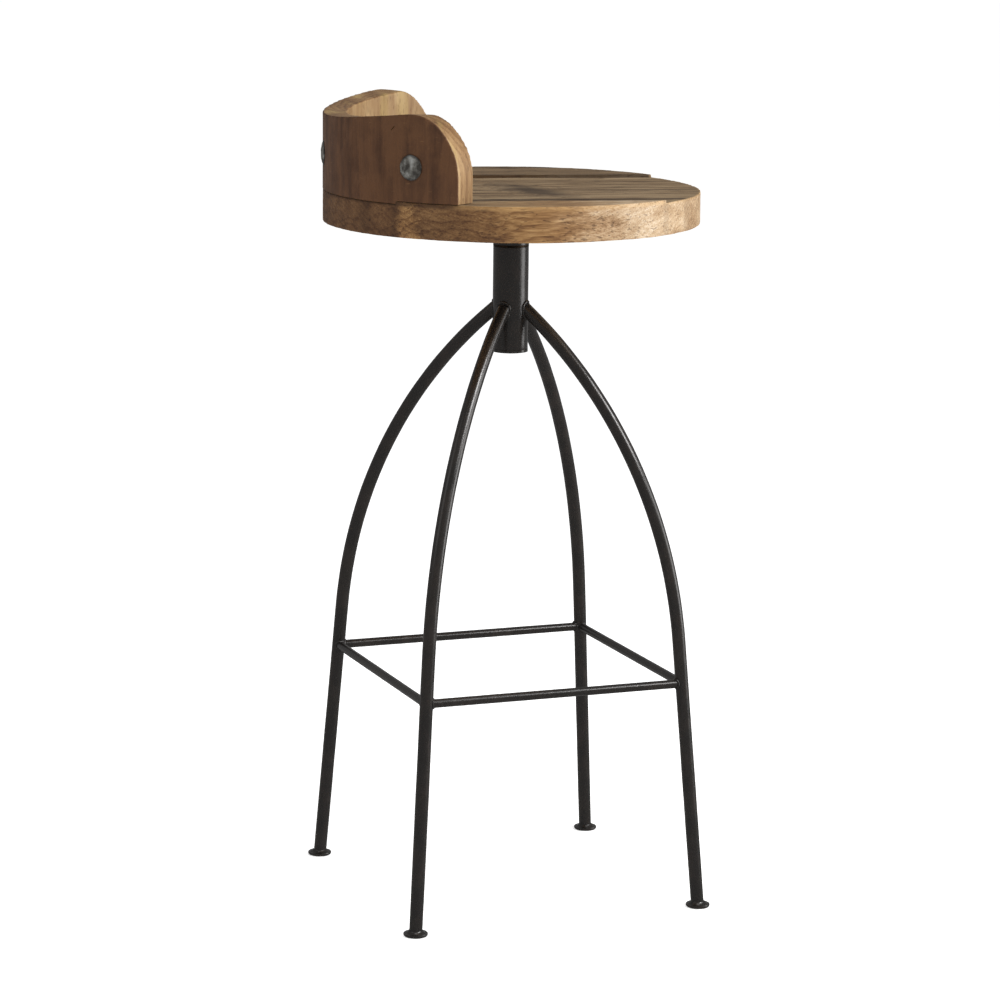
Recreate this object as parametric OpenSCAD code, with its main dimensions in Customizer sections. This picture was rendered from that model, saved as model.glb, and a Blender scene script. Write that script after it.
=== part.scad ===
// Swivelling bar stool: round plank seat with a low curved back, on a welded
// steel frame of four bent legs with a square of footrest bars.
// Origin on the floor on the swivel axis, +Z up, the back towards +Y.

/* [Seat] */
// Height of the outer planks' top above the floor
seat_top = 762; // [700:1:920]
// Diameter of the round seat
seat_d = 400; // [340:1:480]
// Thickness of the two outer planks
plank_t = 38; // [30:1:50]
// How much lower the two middle planks lie
plank_step = 3; // [1:0.5:5]
// Distance from the axis to the seam on the -X side
left_seam = 142; // [115:1:150]
// Distance from the axis to the seam on the +X side
right_seam = 106; // [104:1:150]
// Place of the middle seam, negative towards -X
middle_seam = -18; // [-25:1:25]
// Diameter of the dowels that join the planks
dowel_d = 10; // [6:1:12]
// Length of the dowels
dowel_length = 50; // [30:1:60]
// Distance of each dowel from the X axis
dowel_y = 75; // [70:1:82]

/* [Back] */
// Thickness of the curved back
back_t = 26; // [22:1:36]
// Height of the back above the outer planks, at its middle
back_middle_h = 77; // [65:1:110]
// Height of the back above the outer planks, near its ends
back_end_h = 89; // [78:1:130]
// Radius of the hollow along the back's top edge
back_dip_r = 960; // [800:10:2000]
// Angle that the outer face covers at its foot
back_wrap = 132; // [128:1:150]
// Angle that the middle stave covers
stave_wrap = 92; // [84:1:94]
// Turn of the end faces away from the radius
end_turn = 19; // [0:1:25]
// Radius of the lower part of each end's rounded corner
corner_low_r = 72; // [50:1:74]
// Radius of the upper part of each end's rounded corner
corner_top_r = 40; // [20:1:48]

/* [Back bolts] */
// Height of the bolts above the outer planks
bolt_height = 35; // [25:1:45]
// Angle from the middle bolt to each side bolt
bolt_angle = 51; // [49:0.5:53]
// Diameter of the domed bolt heads
bolt_head_d = 27; // [20:0.5:30]
// Height of the domes
bolt_head_h = 3.5; // [2:0.5:6]
// Diameter of the bolt shanks
bolt_d = 8; // [5:0.5:8]
// Width across the flats of the nuts
nut_af = 13; // [12:0.5:15]
// Height of the nuts
nut_h = 6.5; // [4:0.5:7]
// Diameter of the washers under the nuts
washer_d = 18; // [17:0.5:22]
// Thickness of the washers
washer_t = 1.6; // [1:0.2:2]

/* [Frame] */
// Distance from the axis to the middle of each foot
foot_circle_r = 226.5; // [200:0.5:260]
// Lean of the straight lower legs
leg_lean = 5.4; // [4:0.1:7]
// Diameter of the leg rods
leg_d = 14.3; // [10:0.1:18]
// Radius of the bend at the middle of the rod
bend_r = 505; // [420:5:600]
// How far below the seat's top the legs meet the post
leg_top_drop = 131; // [120:1:150]
// Turn of the frame about the axis against the seat
frame_turn = 12.8; // [0:0.1:40]
// Height of the footrest bars' middle
footrest_h = 243; // [180:1:300]
// Diameter of the footrest bars
footrest_d = 9.5; // [7:0.1:13]
// Diameter of the foot pads
pad_d = 26; // [22:0.5:40]
// Thickness of the pads' flat disc
pad_t = 3; // [2:0.5:5]
// Height of the weld fillet between pad and leg
pad_fillet_h = 5; // [2:0.5:8]

/* [Swivel] */
// Outer diameter of the post
post_d = 38; // [36:0.5:48]
// Wall of the post
post_wall = 3; // [2:0.1:4]
// How far the post reaches below the legs' top
post_tail = 46; // [40:1:60]
// Thickness of the cap that closes the post
cap_t = 3; // [2:0.5:5]
// Height of the cap's spigot inside the post
cap_spigot_h = 4; // [2:0.5:5]
// Diameter of the spindle
spindle_d = 20; // [16:0.5:22]
// Diameter of the threaded spindle end
thread_d = 14; // [10:0.5:14.5]
// Length of both bushes inside the post
bush_length = 20; // [10:1:25]
// Thickness of the upper bush's flange, which carries the seat
bush_flange_t = 2; // [1.5:0.5:4]
// Height of the collar between flange and mounting plate
collar_h = 19; // [12:1:30]
// Width of the square mounting plate
plate_w = 160; // [130:1:164]
// Thickness of the mounting plate
plate_t = 5; // [3:0.5:8]
// Corner radius of the mounting plate
plate_corner_r = 12; // [5:1:20]
// Distance of the plate screws from the plate's edges
plate_screw_inset = 16; // [12:1:18]
// Thickness of the washer that holds the spindle down
keeper_t = 2.5; // [1.5:0.5:4]
// Height of the spindle nut
spindle_nut_h = 11; // [8:0.5:12]
// Width across the flats of the spindle nut
spindle_nut_af = 21; // [19:0.5:24]

/* [Wood screws] */
// Diameter of the wood screws
screw_d = 5; // [3.5:0.5:5.5]
// Diameter of their heads
screw_head_d = 10; // [8:0.5:11]
// Height of the heads
screw_head_h = 3; // [2:0.5:4]
// Length of the plate screws' shanks
plate_screw_length = 24; // [18:1:28]
// Length of the back screws' shanks
back_screw_length = 62; // [50:1:66]
// Depth of the counterbores for the back screws
back_screw_sink = 8; // [4:1:12]
// Angles of the back screws from the middle of the back
back_screw_angles = [-59, -28, -10, 10, 28, 59];

/* [Fits] */
// Radial clearance of the spindle in its bushes
running_gap = 0.05; // [0.02:0.01:0.1]
// Free play along the spindle
thrust_gap = 0.1; // [0.05:0.05:0.3]
// Radial clearance round bolts and washers in wood
hole_gap = 0.5; // [0.2:0.1:1]

/* [Hidden] */
$fn = 96;
slack = 1;

// Seat
seat_r = seat_d / 2;
seat_bottom = seat_top - plank_t;
middle_plank_top = seat_top - plank_step;
dowel_z = seat_bottom + (plank_t - plank_step) / 2;
seams = [-left_seam, middle_seam, right_seam];

// Back
back_inner_r = seat_r - back_t;
back_screw_r = seat_r - back_t / 2;
end_u = seat_r * sin(end_turn);
corner_turn = 45;
corner_facet = 5;
corner_step = corner_low_r - corner_top_r;
corner_start_h = back_end_h - corner_top_r - corner_step * sin(corner_turn);
bolt_z = seat_top + bolt_height;
bolt_angles = [-bolt_angle, 0, bolt_angle];
spot_face = seat_r - sqrt(pow(seat_r, 2) - pow(bolt_head_d / 2, 2)) + 0.1;
bolt_seat_r = seat_r - spot_face;
dome_r = (pow(bolt_head_d / 2, 2) + pow(bolt_head_h, 2)) / (2 * bolt_head_h);
pocket_depth = nut_h + washer_t + 1.5;
washer_seat_r = back_inner_r + pocket_depth;
bolt_end_r = back_inner_r + 1;

// Legs: straight to straight_z, then one bend up to the post
post_r = post_d / 2;
leg_r = leg_d / 2;
leg_top_z = seat_top - leg_top_drop;
leg_run = foot_circle_r - post_r - leg_top_z * tan(leg_lean);
bend_end = leg_lean + acos(1 - cos(leg_lean) * leg_run / bend_r);
straight_z = leg_top_z + bend_r * (sin(leg_lean) - sin(bend_end));
bend_x = foot_circle_r - straight_z * tan(leg_lean) - bend_r * cos(leg_lean);
bend_z = straight_z - bend_r * sin(leg_lean);
bend_over = bend_end + leg_d / bend_r * 60;
bar_reach = foot_circle_r - footrest_h * tan(leg_lean);
bar_length = bar_reach * sqrt(2);

// Swivel, from the seat downwards
plate_z = seat_bottom - plate_t;
collar_z = plate_z - collar_h;
flange_z = collar_z - thrust_gap - bush_flange_t;
post_bottom = leg_top_z - post_tail;
post_bore_r = post_r - post_wall;
spindle_r = spindle_d / 2;
bush_bore_r = spindle_r + running_gap;
cap_top = post_bottom + cap_t;
spindle_end = cap_top + cap_spigot_h + 2;
nut_z = spindle_end + 1;
keeper_z = nut_z + spindle_nut_h;
lower_bush_z = keeper_z + keeper_t + thrust_gap;
keeper_r = post_bore_r - 1;
plate_screw_xy = plate_w / 2 - plate_screw_inset;

wood_top = "#82735f";
wood_side = "#9a7247";
wood_back = "#6b4a30";
iron = "#2b2725";
grey_iron = "#5a5f5f";
steel = "#9a9a98";
bronze = "#a9793c";
beech = "#c9a673";

// ---- helpers ----

// One quarter turn for each leg, the first between +X and +Y
module at_leg(i) rotate([0, 0, 45 + frame_turn + 90 * i]) children();

// Place at an angle measured from the middle of the back
module round_back(angle) rotate([0, 0, angle]) children();

module ring(outer_r, inner_r, h) {
  rotate_extrude() translate([inner_r, 0]) square([outer_r - inner_r, h]);
}

// ---- frame ----

// Solid rod along one leg's centre line, in the XZ plane, before it is cut
module leg_rod() translate([bend_x, 0, bend_z]) rotate([90, 0, 0]) rotate([0, 0, leg_lean]) {
  rotate_extrude(angle = bend_over - leg_lean) translate([bend_r, 0]) circle(r = leg_r);
  translate([bend_r, 0, 0]) rotate([90, 0, 0]) cylinder(r = leg_r, h = straight_z / cos(leg_lean));
}

module leg(i) color(iron) at_leg(i) difference() {
  leg_rod();
  // Coped end against the post
  translate([0, 0, post_bottom - slack])
    cylinder(r = post_r, h = seat_top - post_bottom);
  // Square foot on the pad's disc
  translate([foot_circle_r - leg_d, -leg_d, -leg_d])
    cube([2 * leg_d, 2 * leg_d, leg_d + pad_t]);
}

// Bar between legs i and i + 1, its ends coped to the legs
module footrest_bar(i) color(iron) difference() {
  at_leg(i) translate([bar_reach, 0, footrest_h]) rotate([0, 0, 135])
    rotate([0, 90, 0]) cylinder(d = footrest_d, h = bar_length);
  at_leg(i) leg_rod();
  at_leg(i + 1) leg_rod();
}

module foot_pad(i) color(iron) at_leg(i) difference() {
  translate([foot_circle_r, 0, 0]) rotate_extrude() union() {
    square([pad_d / 2, pad_t]);
    // Hollow fillet from the disc up to the rod
    difference() {
      square([leg_r + pad_fillet_h, pad_t + pad_fillet_h]);
      translate([leg_r + pad_fillet_h, pad_t + pad_fillet_h]) circle(r = pad_fillet_h);
    }
  }
  intersection() {
    leg_rod();
    translate([foot_circle_r - pad_d, -pad_d, pad_t]) cube([2 * pad_d, 2 * pad_d, pad_d]);
  }
}

module post_tube() color(iron)
  translate([0, 0, cap_top]) ring(post_r, post_bore_r, flange_z - cap_top);

module post_cap() color(iron) {
  translate([0, 0, post_bottom]) cylinder(r = post_r, h = cap_t);
  translate([0, 0, cap_top]) cylinder(r = post_bore_r, h = cap_spigot_h);
}

module upper_bush() color(bronze) difference() {
  union() {
    translate([0, 0, flange_z]) cylinder(r = post_r, h = bush_flange_t);
    translate([0, 0, flange_z - bush_length]) cylinder(r = post_bore_r, h = bush_length);
  }
  translate([0, 0, flange_z - bush_length - slack])
    cylinder(r = bush_bore_r, h = bush_length + bush_flange_t + 2 * slack);
}

module lower_bush() color(bronze)
  translate([0, 0, lower_bush_z]) ring(post_bore_r, bush_bore_r, bush_length);

// ---- swivel ----

module spindle() color(steel) {
  translate([0, 0, keeper_z + keeper_t])
    cylinder(r = spindle_r, h = seat_bottom - keeper_z - keeper_t);
  translate([0, 0, spindle_end])
    cylinder(d = thread_d, h = keeper_z + keeper_t - spindle_end);
}

module swivel_collar() color(iron)
  translate([0, 0, collar_z]) ring(post_r, spindle_r, collar_h);

module at_plate_screws() {
  for (x = [-1, 1], y = [-1, 1])
    translate([x * plate_screw_xy, y * plate_screw_xy, 0]) children();
}

module mounting_plate() color(iron) difference() {
  translate([0, 0, plate_z]) union() {
    inner_w = plate_w - 2 * plate_corner_r;
    translate([-plate_w / 2, -inner_w / 2, 0]) cube([plate_w, inner_w, plate_t]);
    translate([-inner_w / 2, -plate_w / 2, 0]) cube([inner_w, plate_w, plate_t]);
    for (x = [-1, 1], y = [-1, 1])
      translate([x * inner_w / 2, y * inner_w / 2, 0])
        cylinder(r = plate_corner_r, h = plate_t);
  }
  translate([0, 0, plate_z - slack]) cylinder(r = spindle_r, h = plate_t + 2 * slack);
  at_plate_screws()
    translate([0, 0, plate_z - slack]) cylinder(d = screw_d, h = plate_t + 2 * slack);
}

module plate_screws() color(steel) at_plate_screws() {
  translate([0, 0, plate_z - screw_head_h]) cylinder(d = screw_head_d, h = screw_head_h);
  translate([0, 0, plate_z]) cylinder(d = screw_d, h = plate_t + plate_screw_length);
}

module keeper_washer() color(steel)
  translate([0, 0, keeper_z]) ring(keeper_r, thread_d / 2, keeper_t);

module spindle_nut() color(steel) translate([0, 0, nut_z]) difference() {
  cylinder(d = spindle_nut_af / cos(30), h = spindle_nut_h, $fn = 6);
  translate([0, 0, -slack]) cylinder(d = thread_d, h = spindle_nut_h + 2 * slack);
}

// ---- seat ----

module plank_dowels() color(beech)
  for (x = seams, y = [-1, 1])
    translate([x - dowel_length / 2, y * dowel_y, dowel_z])
      rotate([0, 90, 0]) cylinder(d = dowel_d, h = dowel_length);

// Part of the round seat between two seams, drilled for what it holds
module plank(x_from, x_to, top) difference() {
  intersection() {
    translate([0, 0, seat_bottom]) cylinder(r = seat_r, h = top - seat_bottom, $fn = 180);
    translate([x_from, -seat_d, seat_bottom - slack])
      cube([x_to - x_from, 2 * seat_d, plank_t + 2 * slack]);
  }
  plank_dowels();
  at_plate_screws() translate([0, 0, seat_bottom - slack])
    cylinder(d = screw_d, h = plate_screw_length + slack);
  back_screw_holes();
}

module left_plank() color(wood_side) plank(-seat_r, seams[0], seat_top);

module middle_plank_left() color(wood_top) plank(seams[0], seams[1], middle_plank_top);

module middle_plank_right() color(wood_top) plank(seams[1], seams[2], middle_plank_top);

module right_plank() color(wood_side) plank(seams[2], seat_r, seat_top);

// ---- back ----

module at_back_screws() {
  for (angle = back_screw_angles)
    round_back(angle) translate([0, back_screw_r, seat_bottom + back_screw_sink]) children();
}

module back_screws() color(steel) at_back_screws() {
  translate([0, 0, -screw_head_h]) cylinder(d = screw_head_d, h = screw_head_h);
  cylinder(d = screw_d, h = back_screw_length);
}

// Counterbores from the seat's underside, and the pilot holes above them
module back_screw_holes() at_back_screws() {
  translate([0, 0, -back_screw_sink - slack])
    cylinder(d = screw_head_d + 2 * hole_gap, h = back_screw_sink + slack);
  cylinder(d = screw_d, h = back_screw_length);
}

// Outline of one end seen along its end face, x being the distance across it:
// upright at its foot, then two arcs of 45 degrees that meet smoothly
function arc(centre, r, from, to) =
  [for (turn = [from : corner_facet : to]) centre + r * [cos(turn), sin(turn)]];

module end_outline() {
  low_centre = [end_u - corner_low_r, corner_start_h];
  top_centre = low_centre + corner_step * [cos(corner_turn), sin(corner_turn)];
  polygon(concat(
    [[-seat_d, -plank_step - slack], [end_u, -plank_step - slack]],
    arc(low_centre, corner_low_r, 0, corner_turn),
    arc(top_centre, corner_top_r, corner_turn + corner_facet, 90),
    [[-seat_d, back_end_h]]
  ));
}

// Everything that the rounded end on the -X side leaves of the back
module end_keep() rotate([0, 0, 180 + back_wrap / 2 - end_turn]) rotate([90, 0, 0])
  translate([0, seat_top, -seat_d]) linear_extrude(height = 2 * seat_d) end_outline();

// Wedge from the axis over the middle stave
module stave_wedge() {
  reach = 2 * seat_r;
  half = stave_wrap / 2;
  translate([0, 0, seat_bottom]) linear_extrude(height = plank_t + 2 * back_end_h)
    polygon([[0, 0], [reach * sin(half), reach * cos(half)], [-reach * sin(half), reach * cos(half)]]);
}

// Bolt hole with its flat outside and the nut's pocket inside
module bolt_hole(angle) round_back(angle) translate([0, 0, bolt_z]) rotate([-90, 0, 0]) {
  cylinder(d = bolt_d + 2 * hole_gap, h = seat_r + slack);
  translate([0, 0, back_inner_r - slack])
    cylinder(d = washer_d + 2 * hole_gap, h = pocket_depth + slack);
  translate([0, 0, bolt_seat_r]) cylinder(d = bolt_head_d, h = seat_r - bolt_seat_r + slack);
}

// The whole curved wall with its hollow top edge and bolt holes
module back_wall() difference() {
  intersection() {
    translate([0, 0, seat_bottom]) ring(seat_r, back_inner_r, plank_t + back_end_h, $fn = 180);
    translate([-seat_d, 0, middle_plank_top]) cube([2 * seat_d, seat_d, back_end_h + plank_step]);
    end_keep();
    mirror([1, 0, 0]) end_keep();
  }
  translate([0, 0, seat_top + back_middle_h + back_dip_r]) rotate([90, 0, 0])
    cylinder(r = back_dip_r, h = 3 * seat_d, center = true, $fn = 360);
  // Bed on the outer planks, whose tops stand higher
  translate([-seat_r - slack, -seat_d, middle_plank_top - slack])
    cube([seat_r + slack + seams[0], 2 * seat_d, plank_step + slack]);
  translate([seams[2], -seat_d, middle_plank_top - slack])
    cube([seat_r + slack - seams[2], 2 * seat_d, plank_step + slack]);
  for (angle = bolt_angles) bolt_hole(angle);
  at_back_screws() cylinder(d = screw_d, h = back_screw_length);
}

module back_middle() color(wood_back) intersection() {
  back_wall();
  stave_wedge();
}

// The -X end of the wall, or the +X end when mirrored
module back_end(side) difference() {
  intersection() {
    back_wall();
    mirror([side > 0 ? 1 : 0, 0, 0])
      translate([-2 * seat_r, -seat_r, seat_bottom]) cube([2 * seat_r, 2 * seat_d, 2 * seat_r]);
  }
  stave_wedge();
}

module back_left() color(wood_back) back_end(-1);

module back_right() color(wood_back) back_end(1);

module back_bolts() color(grey_iron)
  for (angle = bolt_angles) round_back(angle) translate([0, 0, bolt_z]) rotate([-90, 0, 0]) {
    translate([0, 0, bolt_end_r]) cylinder(d = bolt_d, h = bolt_seat_r - bolt_end_r + bolt_head_h / 2);
    // Low dome: the cap of a large ball
    translate([0, 0, bolt_seat_r]) rotate_extrude() intersection() {
      translate([0, bolt_head_h - dome_r]) circle(r = dome_r, $fn = 360);
      square([bolt_head_d / 2, bolt_head_h]);
    }
  }

module back_washers() color(steel)
  for (angle = bolt_angles) round_back(angle) translate([0, 0, bolt_z]) rotate([-90, 0, 0])
    translate([0, 0, washer_seat_r - washer_t]) ring(washer_d / 2, bolt_d / 2, washer_t);

module back_nuts() color(steel)
  for (angle = bolt_angles) round_back(angle) translate([0, 0, bolt_z]) rotate([-90, 0, 0])
    translate([0, 0, washer_seat_r - washer_t - nut_h]) difference() {
      cylinder(d = nut_af / cos(30), h = nut_h, $fn = 6);
      translate([0, 0, -slack]) cylinder(d = bolt_d, h = nut_h + 2 * slack);
    }

post_tube();
post_cap();
upper_bush();
lower_bush();
leg(0);  // leg_1
leg(1);  // leg_2
leg(2);  // leg_3
leg(3);  // leg_4
footrest_bar(0);  // footrest_bar_1
footrest_bar(1);  // footrest_bar_2
footrest_bar(2);  // footrest_bar_3
footrest_bar(3);  // footrest_bar_4
foot_pad(0);  // foot_pad_1
foot_pad(1);  // foot_pad_2
foot_pad(2);  // foot_pad_3
foot_pad(3);  // foot_pad_4
spindle();
swivel_collar();
mounting_plate();
plate_screws();
keeper_washer();
spindle_nut();
left_plank();
middle_plank_left();
middle_plank_right();
right_plank();
plank_dowels();
back_middle();
back_left();
back_right();
back_screws();
back_bolts();
back_washers();
back_nuts();
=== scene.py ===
"""Swivelling bar stool: worn plank seat, low curved back, and a welded frame of bent iron rod.

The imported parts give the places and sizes. Each class below models one sub-assembly round
them and dresses it, and the studio at the end adds floor, lights and camera.
"""

import logging
import math
import random
from contextlib import contextmanager
from dataclasses import dataclass
from enum import Enum
from typing import Callable, Iterator

import bmesh
import bpy
from mathutils import Matrix, Vector


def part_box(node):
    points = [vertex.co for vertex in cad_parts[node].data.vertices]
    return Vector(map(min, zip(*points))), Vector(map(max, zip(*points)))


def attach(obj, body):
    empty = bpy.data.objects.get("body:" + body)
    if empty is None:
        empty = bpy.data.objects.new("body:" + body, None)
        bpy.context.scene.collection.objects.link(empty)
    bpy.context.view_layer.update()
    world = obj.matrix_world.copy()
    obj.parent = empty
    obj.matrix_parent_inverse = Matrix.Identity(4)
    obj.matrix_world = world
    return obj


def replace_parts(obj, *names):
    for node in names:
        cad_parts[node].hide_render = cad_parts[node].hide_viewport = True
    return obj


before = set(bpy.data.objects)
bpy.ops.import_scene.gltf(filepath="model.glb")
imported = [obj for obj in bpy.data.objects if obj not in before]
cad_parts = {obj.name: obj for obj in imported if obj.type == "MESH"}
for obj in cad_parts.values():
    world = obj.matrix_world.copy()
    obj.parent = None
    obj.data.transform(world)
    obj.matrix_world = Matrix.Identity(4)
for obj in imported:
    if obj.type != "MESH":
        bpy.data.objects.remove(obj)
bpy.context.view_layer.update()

MM = 0.001
UP = Vector((0, 0, 1))
log = logging.getLogger("stool")

Point = tuple[float, float, float]
Colour = tuple[float, float, float, float]


def shade(red: int, green: int, blue: int) -> Colour:
    """Turns a colour as a paint chart gives it into a linear one.

    Args:
        red: Red, from 0 to 255.
        green: Green, from 0 to 255.
        blue: Blue, from 0 to 255.

    Returns:
        The linear colour with full alpha.
    """
    parts = [part / 255 for part in (red, green, blue)]
    linear = [p / 12.92 if p <= 0.04045 else ((p + 0.055) / 1.055) ** 2.4 for p in parts]
    return (*linear, 1.0)


def grey(level: float) -> Colour:
    """Gives a linear grey."""
    return (level, level, level, 1.0)


# ---- modelling ----


class Cut(Enum):
    """What a boolean does with its second shape."""

    AWAY = "DIFFERENCE"
    COMMON = "INTERSECT"
    ADD = "UNION"


def only(obj: bpy.types.Object) -> None:
    """Selects one object and makes it the active one."""
    bpy.ops.object.select_all(action="DESELECT")
    obj.select_set(True)
    bpy.context.view_layer.objects.active = obj


def settled(obj: bpy.types.Object) -> bpy.types.Object:
    """Puts an object's place, turn and scale into its mesh."""
    only(obj)
    bpy.ops.object.transform_apply(location=True, rotation=True, scale=True)
    return obj


def added(name: str, adder: Callable, scale: Point = (1, 1, 1), **settings) -> bpy.types.Object:
    """Adds a primitive and settles it.

    Args:
        name: Name of the new object.
        adder: The operator that adds the primitive.
        scale: Stretch of the primitive before it is turned and placed.
        **settings: The operator's own settings.

    Returns:
        The new object, its place in its mesh.
    """
    bpy.ops.object.select_all(action="DESELECT")
    adder(**settings)
    obj = bpy.context.active_object
    obj.name = obj.data.name = name
    obj.scale = scale
    return settled(obj)


@contextmanager
def editing(obj: bpy.types.Object) -> Iterator[None]:
    """Opens an object in edit mode with all of it selected, and closes it afterwards."""
    only(obj)
    bpy.ops.object.mode_set(mode="EDIT")
    bpy.ops.mesh.select_all(action="SELECT")
    yield
    bpy.ops.object.mode_set(mode="OBJECT")


def pick_faces(obj: bpy.types.Object, wanted: Callable) -> None:
    """Selects the faces of the object in edit mode that pass a test.

    Args:
        obj: The object being edited.
        wanted: Takes a face and says whether it is selected.
    """
    bpy.ops.mesh.select_mode(type="FACE")
    mesh = bmesh.from_edit_mesh(obj.data)
    for face in mesh.faces:
        face.select_set(bool(wanted(face)))
    mesh.select_flush_mode()
    bmesh.update_edit_mesh(obj.data)


def modified(obj: bpy.types.Object, kind: str, **settings) -> bpy.types.Object:
    """Adds one modifier and applies it.

    Args:
        obj: The object to change.
        kind: The modifier's type.
        **settings: The modifier's own settings.

    Returns:
        The same object.
    """
    only(obj)
    modifier = obj.modifiers.new(kind.lower(), kind)
    for name, value in settings.items():
        setattr(modifier, name, value)
    bpy.ops.object.modifier_apply(modifier=modifier.name)
    return obj


def cut(obj: bpy.types.Object, tool: bpy.types.Object, how: Cut = Cut.AWAY,
        keep_tool: bool = False) -> bpy.types.Object:
    """Cuts one closed shape with another.

    Args:
        obj: The shape that stays.
        tool: The shape that cuts.
        how: Which part stays.
        keep_tool: Whether the tool is used again.

    Returns:
        The cut shape.
    """
    modified(obj, "BOOLEAN", operation=how.value, solver="MANIFOLD", object=tool)
    if not keep_tool:
        bpy.data.objects.remove(tool)
    return obj


def joined(name: str, parts: list[bpy.types.Object]) -> bpy.types.Object:
    """Joins several objects into one.

    Args:
        name: Name of the joined object.
        parts: The objects, of which the first one stays.

    Returns:
        The joined object.
    """
    only(parts[0])
    for part in parts[1:]:
        part.select_set(True)
    bpy.ops.object.join()
    parts[0].name = parts[0].data.name = name
    return parts[0]


def copied(obj: bpy.types.Object, name: str, turn: float = 0.0, tilt: float = 0.0,
           place: Point = (0, 0, 0)) -> bpy.types.Object:
    """Copies an object with its own mesh, then tilts, turns and moves the copy.

    Args:
        obj: The object to copy.
        name: Name of the copy.
        turn: Turn about the upright axis, in radians.
        tilt: Turn about X, before the other one, in radians.
        place: How far it moves, in metres.

    Returns:
        The copy.
    """
    only(obj)
    bpy.ops.object.duplicate()
    twin = bpy.context.active_object
    twin.name = twin.data.name = name
    twin.rotation_euler = (tilt, 0, turn)
    twin.location = place
    return settled(twin)


def outwards(obj: bpy.types.Object, merge: float = 0.00001) -> bpy.types.Object:
    """Merges doubled points and turns every face outwards."""
    with editing(obj):
        bpy.ops.mesh.remove_doubles(threshold=merge)
        bpy.ops.mesh.normals_make_consistent(inside=False)
    return obj


def smooth(obj: bpy.types.Object, degrees: float = 35) -> bpy.types.Object:
    """Shades an object smooth, except over its sharp corners."""
    only(obj)
    bpy.ops.object.shade_smooth_by_angle(angle=math.radians(degrees))
    return obj


def worn(obj: bpy.types.Object, features: Point, depth: float, offset: float = 0.0,
         octaves: int = 3) -> bpy.types.Object:
    """Wears a surface inwards in an irregular pattern, never outwards.

    Args:
        obj: The object to wear.
        features: Length of the pattern's features along X, Y and Z, in metres.
        depth: Deepest wear, in metres.
        offset: Shift of the pattern, so that pieces differ, in metres.
        octaves: How many finer layers the pattern has.

    Returns:
        The same object.
    """
    pattern = bpy.data.textures.new(obj.name, "CLOUDS")
    pattern.noise_scale = 1.0
    pattern.noise_depth = octaves
    guide = bpy.data.objects.new(obj.name + "_guide", None)
    bpy.context.scene.collection.objects.link(guide)
    guide.scale = features
    guide.location = (offset, offset, offset)
    bpy.context.view_layer.update()
    modified(obj, "DISPLACE", texture=pattern, texture_coords="OBJECT",
             texture_coords_object=guide, mid_level=1.0, strength=depth)
    bpy.data.objects.remove(guide)
    bpy.data.textures.remove(pattern)
    return obj


def eased(obj: bpy.types.Object, grain: float, rounds: int) -> bpy.types.Object:
    """Rebuilds a shape as an even skin and eases its corners.

    Args:
        obj: The object to rebuild.
        grain: Size of the skin's faces, in metres.
        rounds: How many times its points are drawn together.

    Returns:
        The same object.
    """
    modified(obj, "REMESH", mode="VOXEL", voxel_size=grain, use_smooth_shade=True)
    return modified(obj, "SMOOTH", factor=0.5, iterations=rounds)


class Outline:
    """A line drawn in the XZ plane by extruding one point, then turned or swept to a solid."""

    def __init__(self, name: str, x: float, z: float) -> None:
        """Starts the line at a point."""
        self.obj = added(name, bpy.ops.mesh.primitive_plane_add, size=MM)
        only(self.obj)
        bpy.ops.object.mode_set(mode="EDIT")
        bpy.ops.mesh.select_mode(type="VERT")
        bpy.ops.mesh.select_all(action="SELECT")
        bpy.ops.mesh.merge(type="CENTER")
        bpy.ops.transform.translate(value=(x, 0, z))

    def line(self, dx: float, dz: float) -> "Outline":
        """Goes on in a straight line by the given steps along X and Z."""
        bpy.ops.mesh.extrude_region_move(TRANSFORM_OT_translate={"value": (dx, 0, dz)})
        return self

    def home(self) -> "Outline":
        """Goes straight to the Z axis."""
        points = bmesh.from_edit_mesh(self.obj.data).verts
        return self.line(-next(point.co.x for point in points if point.select), 0)

    def arc(self, x: float, z: float, degrees: float, steps: int) -> "Outline":
        """Goes on in an arc about a centre.

        Args:
            x: The centre's place along X.
            z: The centre's place along Z.
            degrees: How far it turns, positive from X towards Z.
            steps: How many straight pieces it has.

        Returns:
            The same outline.
        """
        bpy.ops.mesh.spin(steps=steps, angle=math.radians(degrees), center=(x, 0, z), axis=(0, 1, 0))
        return self

    def lathe(self, steps: int) -> bpy.types.Object:
        """Turns the line once round the Z axis.

        Args:
            steps: How many sides the solid has.

        Returns:
            The closed solid.
        """
        bpy.ops.mesh.select_all(action="SELECT")
        bpy.ops.mesh.spin(steps=steps, angle=math.tau, center=(0, 0, 0), axis=(0, 0, 1))
        bpy.ops.object.mode_set(mode="OBJECT")
        return outwards(self.obj)

    def sweep(self, reach: float) -> bpy.types.Object:
        """Fills the line and sweeps it along Y, to both sides of where it was drawn.

        Args:
            reach: How far it is swept to each side.

        Returns:
            The closed solid.
        """
        bpy.ops.mesh.select_all(action="SELECT")
        bpy.ops.mesh.edge_face_add()
        bpy.ops.transform.translate(value=(0, -reach, 0))
        bpy.ops.mesh.extrude_region_move(TRANSFORM_OT_translate={"value": (0, 2 * reach, 0)})
        bpy.ops.object.mode_set(mode="OBJECT")
        return outwards(self.obj)


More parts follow.
